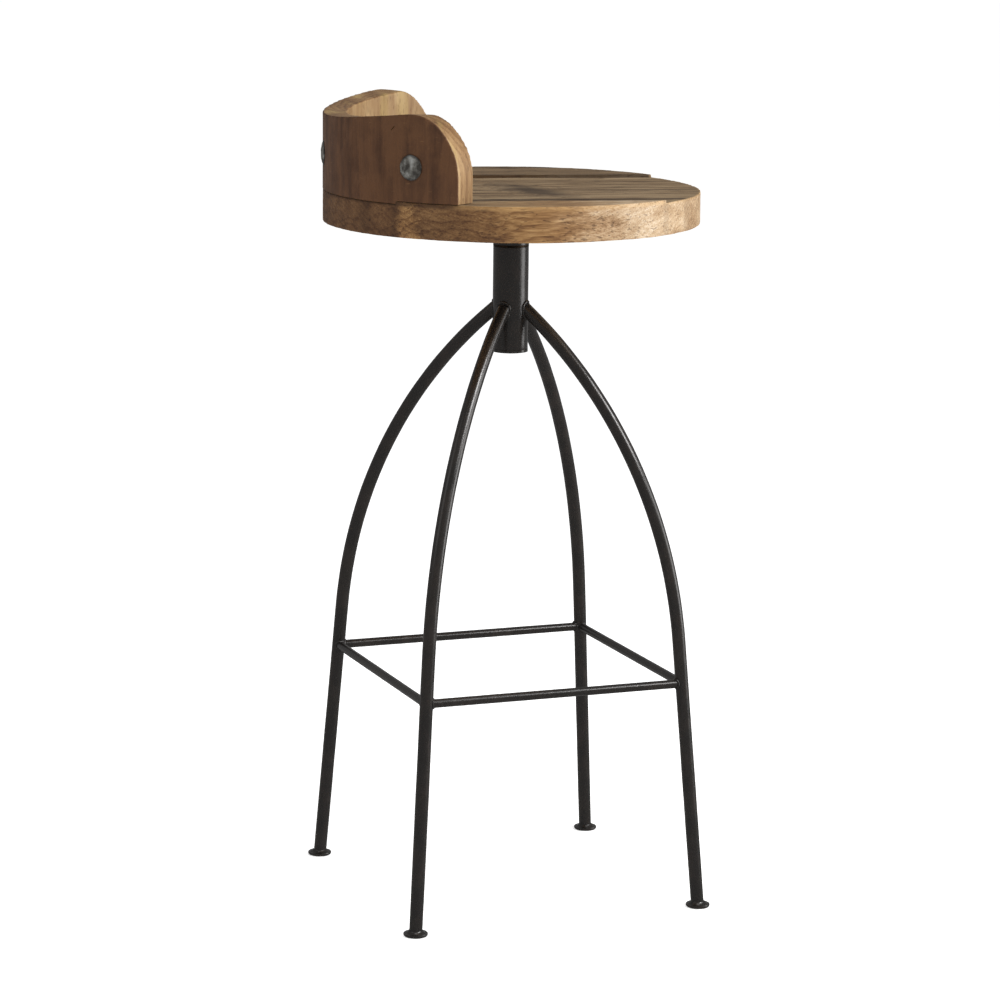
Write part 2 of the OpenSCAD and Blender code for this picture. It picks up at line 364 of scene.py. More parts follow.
def blobs(name: str, points: list[Vector], radius: float, seed: int) -> bpy.types.Object:
    """Lays a weld bead: small lumps along a line, melted together.

    Args:
        name: Name of the bead.
        points: The line that the bead follows.
        radius: The lumps' usual radius, in metres.
        seed: Seed of their unevenness.

    Returns:
        The bead as one closed skin.
    """
    chance = random.Random(seed)
    lumps = [
        added(f"{name}_{i}", bpy.ops.mesh.primitive_ico_sphere_add, subdivisions=2,
              radius=radius * chance.uniform(0.75, 1.2), location=point)
        for i, point in enumerate(points)
    ]
    bead = joined(name, lumps)
    return eased(bead, 0.6 * MM, 4)


def crossing(start: Vector, along: Vector, radius: float, foot: Vector, axis: Vector,
             thickness: float, count: int, ahead: bool = True) -> list[Vector]:
    """Finds the line where one round bar meets another.

    Args:
        start: A point on the first bar's middle line.
        along: Unit direction of the first bar.
        radius: The first bar's radius.
        foot: A point on the second bar's middle line.
        axis: Unit direction of the second bar.
        thickness: The second bar's radius.
        count: How many points the line has.
        ahead: Whether the wanted meeting is the later one along the first bar.

    Returns:
        The points, in order round the first bar.
    """
    side = along.cross(UP if abs(along.z) < 0.9 else Vector((1, 0, 0))).normalized()
    rise = side.cross(along)
    flat = along - along.dot(axis) * axis
    points = []
    for i in range(count):
        turn = math.tau * i / count
        on_skin = start + radius * (math.cos(turn) * side + math.sin(turn) * rise)
        away = on_skin - foot
        away -= away.dot(axis) * axis
        a, b, c = flat.dot(flat), 2 * away.dot(flat), away.dot(away) - thickness**2
        root = math.sqrt(max(b * b - 4 * a * c, 0.0))
        points.append(on_skin + (-b + (root if ahead else -root)) / (2 * a) * along)
    return points


# ---- finishes ----


class Signal:
    """A value that flows through a shader. Arithmetic on it adds Math nodes."""

    def __init__(self, graph: "Graph", socket: bpy.types.NodeSocket) -> None:
        """Wraps one output socket of a shader graph."""
        self.graph = graph
        self.socket = socket

    def __add__(self, other: "Value") -> "Signal":
        """Adds."""
        return self.graph.math("ADD", self, other)

    def __radd__(self, other: float) -> "Signal":
        """Adds to a number."""
        return self.graph.math("ADD", other, self)

    def __sub__(self, other: "Value") -> "Signal":
        """Takes away."""
        return self.graph.math("SUBTRACT", self, other)

    def __rsub__(self, other: float) -> "Signal":
        """Takes away from a number."""
        return self.graph.math("SUBTRACT", other, self)

    def __mul__(self, other: "Value") -> "Signal":
        """Multiplies."""
        return self.graph.math("MULTIPLY", self, other)

    def __rmul__(self, other: float) -> "Signal":
        """Multiplies a number."""
        return self.graph.math("MULTIPLY", other, self)

    def __truediv__(self, other: "Value") -> "Signal":
        """Divides."""
        return self.graph.math("DIVIDE", self, other)

    def __abs__(self) -> "Signal":
        """Gives the size without its sign."""
        return self.graph.math("ABSOLUTE", self)


Value = Signal | float | Colour


class Graph:
    """One material's node tree, with the few moves that the finishes are written in."""

    def __init__(self, name: str) -> None:
        """Starts an empty material."""
        self.material = bpy.data.materials.new(name)
        self.material.use_nodes = True
        self.tree = self.material.node_tree
        self.tree.nodes.clear()

    def node(self, kind: str, settings: dict | None = None, inputs: dict | None = None,
             output: int | str = 0) -> Signal:
        """Adds any node.

        Args:
            kind: The node's type.
            settings: Its settings, set first. A ramp's stops are pairs of place and colour.
            inputs: Values or signals for its sockets, by name or number.
            output: The output that is wanted.

        Returns:
            The wanted output as a signal.
        """
        made = self.tree.nodes.new(kind)
        for name, value in (settings or {}).items():
            if name == "stops":
                while len(made.color_ramp.elements) < len(value):
                    made.color_ramp.elements.new(1.0)
                for element, (place, colour) in zip(made.color_ramp.elements, value):
                    element.position = place
                    element.color = colour
            else:
                setattr(made, name, value)
        for name, value in (inputs or {}).items():
            if isinstance(value, Signal):
                self.tree.links.new(value.socket, made.inputs[name])
            else:
                made.inputs[name].default_value = value
        return Signal(self, made.outputs[output])

    def math(self, operation: str, first: Value, second: Value = 0.0) -> Signal:
        """Adds a Math node."""
        return self.node("ShaderNodeMath", {"operation": operation}, {0: first, 1: second})

    def place(self) -> Signal:
        """Gives the place on the piece in millimetres."""
        here = self.node("ShaderNodeTexCoord", output="Object")
        return self.stretch(here, (1000, 1000, 1000))

    def facing(self) -> tuple[Signal, Signal, Signal]:
        """Gives the parts of the surface's direction along the piece's own axes."""
        return self.axes(self.node("ShaderNodeTexCoord", output="Normal"))

    def stretch(self, vector: Signal, scale: Point, shift: Point = (0, 0, 0)) -> Signal:
        """Scales a vector along its axes, then shifts it."""
        return self.node("ShaderNodeMapping", {"vector_type": "POINT"},
                         {"Vector": vector, "Scale": scale, "Location": shift})

    def axes(self, vector: Signal) -> tuple[Signal, Signal, Signal]:
        """Parts a vector into X, Y and Z."""
        first = self.node("ShaderNodeSeparateXYZ", inputs={0: vector})
        outputs = first.socket.node.outputs
        return first, Signal(self, outputs[1]), Signal(self, outputs[2])

    def length(self, first: Signal, second: Signal) -> Signal:
        """Gives the length of a step along two axes at right angles."""
        return self.math("SQRT", first * first + second * second)

    def noise(self, vector: Signal, detail: float = 2.0, roughness: float = 0.5,
              colour: bool = False) -> Signal:
        """Adds soft noise that runs from 0 to 1 about a half.

        Args:
            vector: The place, one unit for each feature.
            detail: How many finer layers it has.
            roughness: How strong the finer layers are.
            colour: Whether three noises are wanted, as a colour.

        Returns:
            The noise.
        """
        return self.node("ShaderNodeTexNoise", {"noise_dimensions": "3D"},
                         {"Vector": vector, "Scale": 1.0, "Detail": detail, "Roughness": roughness},
                         "Color" if colour else "Fac")

    def rise(self, value: Signal, low: float, high: float) -> Signal:
        """Rises smoothly from 0 to 1 as a value goes from low to high."""
        return self.node("ShaderNodeMapRange", {"interpolation_type": "SMOOTHSTEP"},
                         {"Value": value, "From Min": low, "From Max": high})

    def mix(self, factor: Value, first: Value, second: Value) -> Signal:
        """Mixes two colours.

        Args:
            factor: 0 for the first colour, 1 for the second.
            first: A colour or a signal.
            second: A colour or a signal.

        Returns:
            The mixed colour.
        """
        return self.node("ShaderNodeMix", {"data_type": "RGBA"},
                         {0: factor, 6: first, 7: second}, 2)

    def ramp(self, value: Signal, stops: list[tuple[float, Colour]]) -> Signal:
        """Turns a value into a colour by its stops."""
        return self.node("ShaderNodeValToRGB", {"stops": stops}, {0: value}, "Color")

    def relief(self, height: Signal, depth: float, strength: float = 1.0) -> Signal:
        """Turns a height into a bumped normal, depth being its full height in metres."""
        return self.node("ShaderNodeBump", inputs={
            "Height": height, "Distance": depth, "Strength": strength}, output="Normal")

    def finish(self, **sockets: Value) -> bpy.types.Material:
        """Closes the material with its shader.

        Args:
            **sockets: The shader's sockets, with spaces written as underscores.

        Returns:
            The material.
        """
        inputs = {name.replace("_", " "): value for name, value in sockets.items()}
        shader = self.node("ShaderNodeBsdfPrincipled", inputs=inputs)
        out = self.tree.nodes.new("ShaderNodeOutputMaterial")
        self.tree.links.new(shader.socket, out.inputs["Surface"])
        return self.material


@dataclass(frozen=True)
class WoodTone:
    """The colours of one kind of wood, from its palest to its darkest lines."""

    pale: Colour
    middle: Colour
    deep: Colour
    line: Colour


EDGE_TONE = WoodTone(
    shade(190, 151, 98), shade(150, 111, 66), shade(112, 76, 42), shade(66, 42, 24))
FRONT_TONE = WoodTone(
    shade(202, 184, 160), shade(178, 152, 120), shade(140, 110, 77), shade(92, 67, 45))
TOP_TONE = WoodTone(
    shade(156, 134, 104), shade(125, 103, 75), shade(90, 70, 48), shade(48, 34, 23))
BACK_TONE = WoodTone(
    shade(178, 149, 108), shade(154, 122, 84), shade(122, 90, 58), shade(76, 52, 32))
STAIN = WoodTone(
    shade(92, 60, 35), shade(74, 46, 26), shade(56, 34, 19), shade(34, 21, 12))
# Dirt in the plank joints, also used as painted shade in the streak beside the near step.
JOINT_DIRT_AND_STEP_SHADE = shade(46, 33, 22)
KNOT = shade(60, 47, 35)


@dataclass(frozen=True)
class Timber:
    """Solid wood: growth rings round a pith, drawn-out fibres, pores and slow colour changes."""

    name: str
    pith: Point = (-60.0, 0.0, 560.0)
    ring: float = 4.6
    upright: bool = False

    def long_way(self, across: float, along: float) -> Point:
        """Gives a scale that is fine across the grain and drawn out along it."""
        return (across, across, along) if self.upright else (across, along, across)

    def rings(self, graph: Graph, place: Signal, extra: Value = 0.0) -> Signal:
        """Adds the late wood of the growth rings, as 0 in pale wood and 1 in a dark line.

        Args:
            graph: The graph to add to.
            place: The place in millimetres.
            extra: A disturbance of the rings, in rings.

        Returns:
            The late wood.
        """
        drift = graph.noise(graph.stretch(place, self.long_way(0.011, 0.0042)), 2, colour=True)
        turn_x, turn_y, turn_z = graph.axes(drift)
        x, y, z = graph.axes(place)
        side = y if self.upright else z
        shift = turn_y if self.upright else turn_z
        across = x + (turn_x - 0.5) * 34 - self.pith[0]
        upward = side + (shift - 0.5) * 26 - (self.pith[1] if self.upright else self.pith[2])
        reach = graph.length(across, upward)
        waver = graph.noise(graph.stretch(place, self.long_way(0.07, 0.02)), 3)
        phase = graph.math("FRACT", reach / self.ring + waver * 1.3 + extra)
        return graph.rise(phase, 0.25, 0.86) * (1 - graph.rise(phase, 0.9, 1.0))

    def fibres(self, graph: Graph, place: Signal) -> Signal:
        """Adds the fine streaks of the fibres."""
        return graph.noise(graph.stretch(place, self.long_way(0.95, 0.03), (3, 5, 7)), 5, 0.62)

    def pores(self, graph: Graph, place: Signal) -> Signal:
        """Adds the short dark pores, 1 inside a pore."""
        cells = graph.noise(graph.stretch(place, self.long_way(0.52, 0.1), (11, 2, 4)), 2, 0.5)
        return graph.rise(cells, 0.59, 0.67)

    def patches(self, graph: Graph, place: Signal) -> Signal:
        """Adds slow changes of tone."""
        return graph.noise(graph.stretch(place, self.long_way(0.045, 0.014), (9, 1, 3)), 4, 0.6)


def toned(graph: Graph, tone: WoodTone, depth: Signal) -> Signal:
    """Colours wood by how deep its tone is.

    Args:
        graph: The graph to add to.
        tone: The wood's colours.
        depth: 0 for the palest and 1 for the deepest.

    Returns:
        The colour.
    """
    return graph.ramp(depth, [(0.12, tone.pale), (0.42, tone.middle),
                              (0.72, tone.deep), (0.98, tone.line)])


@dataclass(frozen=True)
class SeatWood(Timber):
    """A plank of the seat: a weathered top, sawn sides, and rims stained towards the back."""

    radius: float = 200.0
    top: float = 762.0
    layer: float = 11.0
    knot: tuple[float, float] = (-21.0, -19.0)
    knot_reach: tuple[float, float] = (64.0, 24.0)
    knot_slant: float = 0.34
    dark_lines: tuple[tuple[float, float], ...] = ((-142.0, 4.0), (-18.0, 3.0), (106.0, 3.0))
    bare_top: float = 0.0
    top_shift: float = 0.0

    def figure(self, graph: Graph, place: Signal) -> Signal:
        """Adds thin wandering lines along the grain, 1 on a line."""
        hills = graph.noise(graph.stretch(place, self.long_way(0.022, 0.008), (2, 7, 9)), 3, 0.5)
        x, _, z = graph.axes(place)
        phase = graph.math("FRACT", z / self.layer + (hills - 0.5) * 8 + x * 0.02)
        return graph.rise(phase, 0.5, 0.92) * (1 - graph.rise(phase, 0.93, 1.0))

    def knot_field(self, graph: Graph, place: Signal) -> Signal:
        """Gives the distance from the dark smear that crosses the planks, 1 at its edge."""
        x, y, _ = graph.axes(place)
        blur = graph.noise(graph.stretch(place, (0.05, 0.03, 0.05)), 4, 0.6)
        off = x - self.knot[0]
        across = off / self.knot_reach[0]
        along = (y - self.knot[1] - off * self.knot_slant) / self.knot_reach[1]
        return graph.length(across, along) + (blur - 0.5) * 1.6

    def weather(self, graph: Graph, place: Signal, knot: Signal) -> Signal:
        """Colours the worn top: grey-brown streaks, dark cracks, and the dark knot."""
        streaks = graph.noise(graph.stretch(place, (0.20, 0.011, 0.20), (2, 6, 1)), 6, 0.68)
        fine = graph.noise(graph.stretch(place, (1.1, 0.022, 1.1), (5, 3, 8)), 4, 0.6)
        bands = graph.noise(graph.stretch(place, (0.035, 0.004, 0.035), (1, 7, 3)), 2, 0.5)
        late = self.rings(graph, place, graph.rise(knot, 1.9, 0.2) * 3.0)
        depth = (0.34 + self.top_shift + (streaks - 0.5) * 1.5 + (fine - 0.5) * 0.9
                 + (bands - 0.5) * 0.8 + late * 0.16)
        colour = toned(graph, TOP_TONE, depth)
        wander = graph.noise(graph.stretch(place, (0.085, 0.0055, 0.085), (4, 4, 9)), 2, 0.5)
        crack = 1 - graph.rise(abs(wander - 0.5), 0.002, 0.013)
        colour = graph.mix(crack * 0.75, colour, TOP_TONE.line)
        smear = (graph.rise(knot, 1.6, 0.5) * (0.25 + streaks * 0.5)
                 + graph.rise(knot, 0.8, 0.3) * 0.3)
        return graph.mix(graph.math("MINIMUM", smear, 1.0), colour, KNOT)

    def joint_dirt_and_step_shade(self, graph: Graph, place: Signal) -> Signal:
        """Gives the dirt in the joints between the planks, and painted shade in the wide dark streak
        beside the near step, as 0 to 1.
        """
        x, _, _ = graph.axes(place)
        ragged = graph.noise(graph.stretch(place, (0.3, 0.05, 0.3), (7, 7, 2)), 3)
        joint_dirt_and_step_shade: Value = 0.0
        for seam, width in self.dark_lines:
            near = 1 - graph.rise(abs(x - seam) + (ragged - 0.5) * width, 0.5 * width, width)
            joint_dirt_and_step_shade = near + joint_dirt_and_step_shade
        return graph.math("MINIMUM", joint_dirt_and_step_shade, 1.0)

    def rim_stain(self, graph: Graph, place: Signal) -> Signal:
        """Gives how dark the rim is stained: strong under the back, none at the front."""
        _, y, _ = graph.axes(place)
        cloud = graph.noise(graph.stretch(place, (0.03, 0.03, 0.05), (6, 2, 5)), 4, 0.6)
        along = (y + (cloud - 0.5) * 36 + self.radius) / (2 * self.radius)
        return graph.ramp(along, [(0.14, grey(0.0)), (0.34, grey(0.12)), (0.52, grey(0.34)),
                                  (0.68, grey(0.62)), (0.79, grey(0.74)), (0.805, grey(0.3)),
                                  (0.84, grey(0.34)), (0.855, grey(0.84))])

    @property
    def material(self) -> bpy.types.Material:
        """Makes the plank's material."""
        graph = Graph(self.name)
        place = graph.place()
        x, y, z = graph.axes(place)
        _, _, face_z = graph.facing()
        late, fibre = self.rings(graph, place), self.fibres(graph, place)
        pores, patch = self.pores(graph, place), self.patches(graph, place)
        figure = self.figure(graph, place)
        front = graph.rise(y + (patch - 0.5) * 110, 10, -120)
        depth = (0.36 + late * 0.10 + figure * (0.22 - 0.17 * front) + (fibre - 0.5) * 1.15
                 + (patch - 0.5) * 1.05 + graph.rise(y, -130, -185) * 0.16)
        sawn = graph.mix(front, toned(graph, EDGE_TONE, depth), toned(graph, FRONT_TONE, depth))
        sawn = graph.mix(pores * (0.75 - 0.25 * front), sawn, EDGE_TONE.line)
        stain_depth = 0.3 + late * 0.1 + figure * 0.12 + (fibre - 0.5) * 0.6 + (patch - 0.5) * 0.9
        stained = toned(graph, STAIN, stain_depth)
        reach = graph.length(x, y)
        near_rim = graph.rise(reach + (patch - 0.5) * 12, self.radius - 12, self.radius - 5)
        stain = self.rim_stain(graph, place) * near_rim
        side = graph.mix(stain, sawn, stained)
        knot = self.knot_field(graph, place)
        bare = graph.rise(y + (patch - 0.5) * 60, 90, -60) * self.bare_top
        topside = graph.mix(bare, self.weather(graph, place, knot), sawn)
        upward = graph.rise(face_z, 0.55, 0.9) * graph.rise(z, self.top - 8, self.top - 5)
        ragged = graph.noise(graph.stretch(place, (0.12, 0.12, 0.12), (1, 9, 4)), 4, 0.6)
        arris = (graph.rise(reach + (ragged - 0.5) * 5, self.radius - 3, self.radius - 0.4)
                 * graph.rise(z, self.top - 7, self.top - 3))
        colour = graph.mix(upward, side, topside)
        free = graph.rise(y, 95, 75)
        colour = graph.mix(arris * free * 0.35, colour, EDGE_TONE.pale)
        colour = graph.mix(arris * (1 - free) * 0.7, colour, STAIN.deep)
        inside = (graph.rise(reach, self.radius - 1, self.radius - 4)
                  * graph.rise(z, self.top - 10, self.top - 8))
        # Darkens the joints with dirt and paints shade in the wide streak beside the near step, more
        # on the top than near the rim.
        colour = graph.mix(self.joint_dirt_and_step_shade(graph, place) * (0.15 + 0.65 * inside), colour, JOINT_DIRT_AND_STEP_SHADE)
        height = (fibre - 0.5) * 0.9 - pores * 0.5 - figure * 0.3
        rough = 0.58 + (fibre - 0.5) * 0.3 + upward * 0.1
        normal = graph.relief(height, 0.35 * MM, 0.8)
        return graph.finish(Base_Color=colour, Roughness=rough, Specular_IOR_Level=0.28,
                            Normal=normal)


@dataclass(frozen=True)
class BackWood(Timber):
    """A stave of the back: dark stain on the outer face, paler bare wood elsewhere."""

    pith: Point = (40.0, 60.0, 0.0)
    ring: float = 6.5
    upright: bool = True
    radius: float = 200.0

    @property
    def material(self) -> bpy.types.Material:
        """Makes the stave's material."""
        graph = Graph(self.name)
        place = graph.place()
        x, y, _ = graph.axes(place)
        late, fibre = self.rings(graph, place), self.fibres(graph, place)
        pores, patch = self.pores(graph, place), self.patches(graph, place)
        _, _, face_z = graph.facing()
        bands = graph.noise(graph.stretch(place, (0.05, 0.05, 0.004), (2, 8, 1)), 3, 0.55)
        depth = (0.28 + late * 0.16 + (fibre - 0.5) * 0.6 + (patch - 0.5) * 0.5
                 + (bands - 0.5) * 0.8 + graph.rise(face_z, 0.1, 0.8) * 0.28)
        bare = toned(graph, BACK_TONE, depth)
        yellow = graph.noise(graph.stretch(place, (0.035, 0.035, 0.006), (8, 3, 3)), 2)
        bare = graph.mix(graph.rise(yellow, 0.52, 0.66) * 0.45, bare, shade(184, 158, 100))
        bare = graph.mix(pores * 0.35, bare, BACK_TONE.line)
        blotch = graph.noise(graph.stretch(place, (0.03, 0.03, 0.03), (5, 5, 5)), 5, 0.62)
        stain_depth = (0.22 + late * 0.12 + (fibre - 0.5) * 0.5 + (bands - 0.5) * 0.9
                       + (blotch - 0.5) * 0.9)
        stained = toned(graph, STAIN, stain_depth)
        scratch = graph.noise(graph.stretch(place, (0.09, 0.09, 0.9), (3, 1, 2)), 2, 0.5)
        stained = graph.mix(graph.rise(scratch, 0.68, 0.76) * 0.45, stained, shade(132, 96, 62))
        rubbed = graph.noise(graph.stretch(place, (0.06, 0.06, 0.02), (4, 1, 6)), 4, 0.65)
        stained = graph.mix(graph.rise(rubbed, 0.56, 0.72) * 0.3, stained, shade(112, 78, 50))
        reach = graph.length(x, y)
        ragged = graph.noise(graph.stretch(place, (0.16, 0.16, 0.1), (1, 2, 9)), 4, 0.6)
        outer = graph.rise(reach + (ragged - 0.5) * 1.6, self.radius - 2.2, self.radius - 1.0)
        colour = graph.mix(outer, bare, stained)
        height = (fibre - 0.5) * 0.8 - pores * 0.4
        rough = 0.5 + (fibre - 0.5) * 0.3 + (blotch - 0.5) * 0.25
        normal = graph.relief(height, 0.3 * MM, 0.7)
        return graph.finish(Base_Color=colour, Roughness=rough, Specular_IOR_Level=0.28,
                            Normal=normal)


@dataclass(frozen=True)
class BlackIron:
    """Blackened iron under wax: near black, with brown specks and uneven gloss."""

    name: str
    dark: Colour = shade(30, 27, 25)
    brown: Colour = shade(70, 52, 40)
    worn: Colour = shade(84, 78, 72)

    @property
    def material(self) -> bpy.types.Material:
        """Makes the iron's material."""
        graph = Graph(self.name)
        place = graph.place()
        cloud = graph.noise(graph.stretch(place, (0.05, 0.05, 0.03)), 5, 0.6)
        speck = graph.noise(graph.stretch(place, (0.55, 0.55, 0.4)), 3, 0.6)
        scale = graph.noise(graph.stretch(place, (0.28, 0.28, 0.12)), 5, 0.65)
        colour = graph.mix(graph.rise(cloud, 0.4, 0.7) * 0.5, self.dark, shade(46, 38, 33))
        colour = graph.mix(graph.rise(speck, 0.66, 0.74) * 0.6, colour, self.brown)
        colour = graph.mix(graph.rise(scale, 0.66, 0.76) * 0.35, colour, self.worn)
        rough = 0.27 + (cloud - 0.5) * 0.2 + (scale - 0.5) * 0.22
        normal = graph.relief(scale, 0.2 * MM, 0.4)
        return graph.finish(Base_Color=colour, Metallic=0.2, Roughness=rough, Normal=normal,
                            Specular_IOR_Level=0.7)


@dataclass(frozen=True)
class HammeredIron:
    """Grey hammered iron: bright on the high spots and dark in the hollows."""

    name: str
    radius: float = 200.0

    @property
    def material(self) -> bpy.types.Material:
        """Makes the iron's material."""
        graph = Graph(self.name)
        place = graph.place()
        dents = graph.noise(graph.stretch(place, (0.13, 0.13, 0.13)), 3, 0.5)
        grit = graph.noise(graph.stretch(place, (0.9, 0.9, 0.9)), 3, 0.6)
        x, y, _ = graph.axes(place)
        reach = graph.length(x, y)
        colour = graph.ramp(dents, [(0.36, shade(70, 67, 62)), (0.52, shade(116, 114, 108)),
                                    (0.68, shade(168, 168, 164))])
        colour = graph.mix(graph.rise(grit, 0.62, 0.7) * 0.5, colour, shade(60, 48, 38))
        # Paints shade on the bolt wherever it lies below the wood's outer face, as a dark ring round
        # the foot of the head.
        sunk_painted_shade = graph.rise(reach, self.radius + 0.9, self.radius - 0.1)
        colour = graph.mix(sunk_painted_shade * 0.75, colour, shade(38, 34, 31))
        rough = 0.5 + (grit - 0.5) * 0.4
        normal = graph.relief(dents + grit * 0.2, 0.6 * MM, 0.5)
        return graph.finish(Base_Color=colour, Metallic=0.6, Roughness=rough, Normal=normal)


@dataclass(frozen=True)
class TurnedMetal:
    """Bare metal off the lathe: fine turning marks and a little tarnish."""

    name: str
    clean: Colour
    tarnished: Colour
    gloss: float = 0.32

    @property
    def material(self) -> bpy.types.Material:
        """Makes the metal's material."""
        graph = Graph(self.name)
        place = graph.place()
        marks = graph.noise(graph.stretch(place, (0.06, 0.06, 3.0)), 3, 0.6)
        cloud = graph.noise(graph.stretch(place, (0.12, 0.12, 0.12)), 4, 0.6)
        colour = graph.mix(graph.rise(cloud, 0.42, 0.68) * 0.8, self.clean, self.tarnished)
        rough = self.gloss + (marks - 0.5) * 0.25 + (cloud - 0.5) * 0.2
        normal = graph.relief(marks, 0.05 * MM, 0.5)
        return graph.finish(Base_Color=colour, Metallic=1.0, Roughness=rough, Normal=normal)


@dataclass(frozen=True)
class Beech:
    """Raw beech dowel: pale, with short fine flecks along its length."""

    name: str

    @property
    def material(self) -> bpy.types.Material:
        """Makes the dowels' material."""
        graph = Graph(self.name)
        place = graph.place()
        flecks = graph.noise(graph.stretch(place, (0.2, 1.4, 1.4)), 4, 0.6)
        colour = graph.ramp(flecks, [(0.35, shade(222, 190, 146)), (0.62, shade(186, 144, 98))])
        return graph.finish(Base_Color=colour, Roughness=0.6 + (flecks - 0.5) * 0.2,
                            Normal=graph.relief(flecks, 0.1 * MM, 0.5))


def dress(piece: bpy.types.Object, material: bpy.types.Material, body: str) -> None:
    """Gives a piece its material and its body.

    Args:
        piece: The piece.
        material: Its finish.
        body: The body that it rides on.
    """
    piece.data.materials.clear()
    piece.data.materials.append(material)
    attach(piece, body)
    log.info("%s: %d faces, rides on %s", piece.name, len(piece.data.polygons), body)


def coat(node: str, material: bpy.types.Material) -> None:
    """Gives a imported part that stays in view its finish."""
    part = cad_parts[node]
    for place in part.material_slots:
        place.material = material
    log.info("%s keeps its packed shape", node)


# ---- sub-assemblies ----


@dataclass
class IronFrame:
    """The welded frame: post, four bent legs, square of footrest bars, and foot pads."""

    lean: float = math.radians(5.4)
    bend_end: float = math.radians(50.3)
    bend_radius: float = 505 * MM
    rod: float = 14.3 * MM
    bar: float = 9.5 * MM
    sink: float = 2 * MM
    pad_cover: float = 3 * MM
    ring_step: float = 6 * MM
    sides: int = 32
    post_rings: int = 24
    bar_rings: int = 40

    def __post_init__(self) -> None:
        """Reads the frame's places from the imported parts."""
        low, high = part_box("foot_pad_1")
        self.foot = Vector(((low.x + high.x) / 2, (low.y + high.y) / 2, 0))
        self.pad_radius = (high.x - low.x) / 2
        self.first_leg = math.atan2(self.foot.y, self.foot.x)
        self.foot_reach = self.foot.length
        low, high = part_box("post_tube")
        self.post_radius, self.post_low, self.post_high = high.x, low.z, high.z
        low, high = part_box("footrest_bar_1")
        self.bar_height = (low.z + high.z) / 2
        self.bar_reach = self.foot_reach - self.bar_height * math.tan(self.lean)
        self.leg_slope = Vector((-math.sin(self.lean), 0, math.cos(self.lean)))

    def build(self) -> list[bpy.types.Object]:
        """Models the whole frame.

        Returns:
            The pieces, dressed and riding on the frame.
        """
        pieces = [self.post()]
        leg, pad, bar, leg_weld, bar_weld = (
            self.leg(), self.pad(), self.footrest_bar(), self.leg_weld(), self.bar_weld())
        for i in range(4):
            turn = self.first_leg + i * math.pi / 2
            number = i + 1
            made = [
                (copied(leg, f"bent_leg_{number}", turn), f"leg_{number}"),
                (copied(pad, f"foot_button_{number}", turn), f"foot_pad_{number}"),
                (copied(bar, f"footrest_rod_{number}", turn), f"footrest_bar_{number}"),
                (copied(leg_weld, f"leg_weld_{number}", turn), None),
                (copied(bar_weld, f"bar_weld_{number}", turn), None),
            ]
            for piece, node in made:
                if node:
                    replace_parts(piece, node)
                pieces.append(piece)
        for pattern in (leg, pad, bar, leg_weld, bar_weld):
            bpy.data.objects.remove(pattern)
        iron = BlackIron("black_iron").material
        for piece in pieces:
            smooth(piece, 50)
            dress(piece, iron, "frame")
        coat("post_cap", iron)
        return pieces

    def post(self) -> bpy.types.Object:
        """Models the post tube with slightly rounded ends."""
        wall = 3 * MM
        edge = 0.5 * MM
        line = Outline("post_barrel", self.post_radius - wall, self.post_low)
        line.line(wall - edge, 0).arc(self.post_radius - edge, self.post_low + edge, 90, 3)
        length = self.post_high - self.post_low - 2 * edge
        for _ in range(self.post_rings):
            line.line(0, length / self.post_rings)
        line.arc(self.post_radius - edge, self.post_high - edge, 90, 3)
        line.line(edge - wall, 0).line(0, -length - 2 * edge)
        tube = line.lathe(96)
        worn(tube, (30 * MM, 30 * MM, 60 * MM), 0.25 * MM, octaves=1)
        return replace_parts(tube, "post_tube")

    def leg(self) -> bpy.types.Object:
        """Models one leg in the XZ plane: a round section drawn up its lean and round its bend."""
        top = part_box("leg_1")[1].z
        length = self.straight_height() / math.cos(self.lean) - self.pad_cover
        start = Vector((self.foot_reach, 0, 0)) + self.pad_cover * self.leg_slope
        leg = added("leg_pattern", bpy.ops.mesh.primitive_circle_add, vertices=self.sides,
                    radius=self.rod / 2, fill_type="NGON", location=start,
                    rotation=(0, -self.lean, 0))
        steps = round(length / self.ring_step)
        rise = self.leg_slope * (length / steps)
        centre = start + rise * steps - self.bend_radius * Vector(
            (math.cos(self.lean), 0, math.sin(self.lean)))
        with editing(leg):
            for _ in range(steps):
                bpy.ops.mesh.extrude_region_move(TRANSFORM_OT_translate={"value": rise})
            turn = self.bend_end - self.lean + self.sink / self.bend_radius
            bpy.ops.mesh.spin(steps=round(turn * self.bend_radius / self.ring_step), angle=turn,
                              center=centre, axis=(0, 1, 0))
        outwards(leg)
        worn(leg, (25 * MM, 25 * MM, 40 * MM), 0.3 * MM, octaves=2)
        log.info("leg pattern reaches %.1f mm, packed leg %.1f mm", leg.bound_box[1][2] / MM, top / MM)
        return leg

    def straight_height(self) -> float:
        """Gives the height at which the bend begins."""
        run = self.foot_reach - self.post_radius
        reach = self.bend_radius * (math.cos(self.lean) - math.cos(self.bend_end))
        return (run - reach) / math.tan(self.lean)

    def pad(self) -> bpy.types.Object:
        """Models one foot: a forged button that flares out of the leg."""
        neck, belly, lip = self.rod / 2, 2.4 * MM, 2.2 * MM
        flare, flare_height = 5.2 * MM, 9.6 * MM
        line = Outline("pad_pattern", 0, 0)
        line.line(self.pad_radius - lip, 0)
        line.arc(self.pad_radius - lip, belly, 45, 4)
        line.arc(self.pad_radius - belly, belly, 75, 6)
        line.arc(neck + 1.02 * flare, flare_height, -62, 8)
        pad = line.home().lathe(48)
        with editing(pad):
            bpy.ops.transform.translate(value=(self.foot_reach, 0, 0))
        return worn(pad, (9 * MM, 9 * MM, 9 * MM), 0.5 * MM)

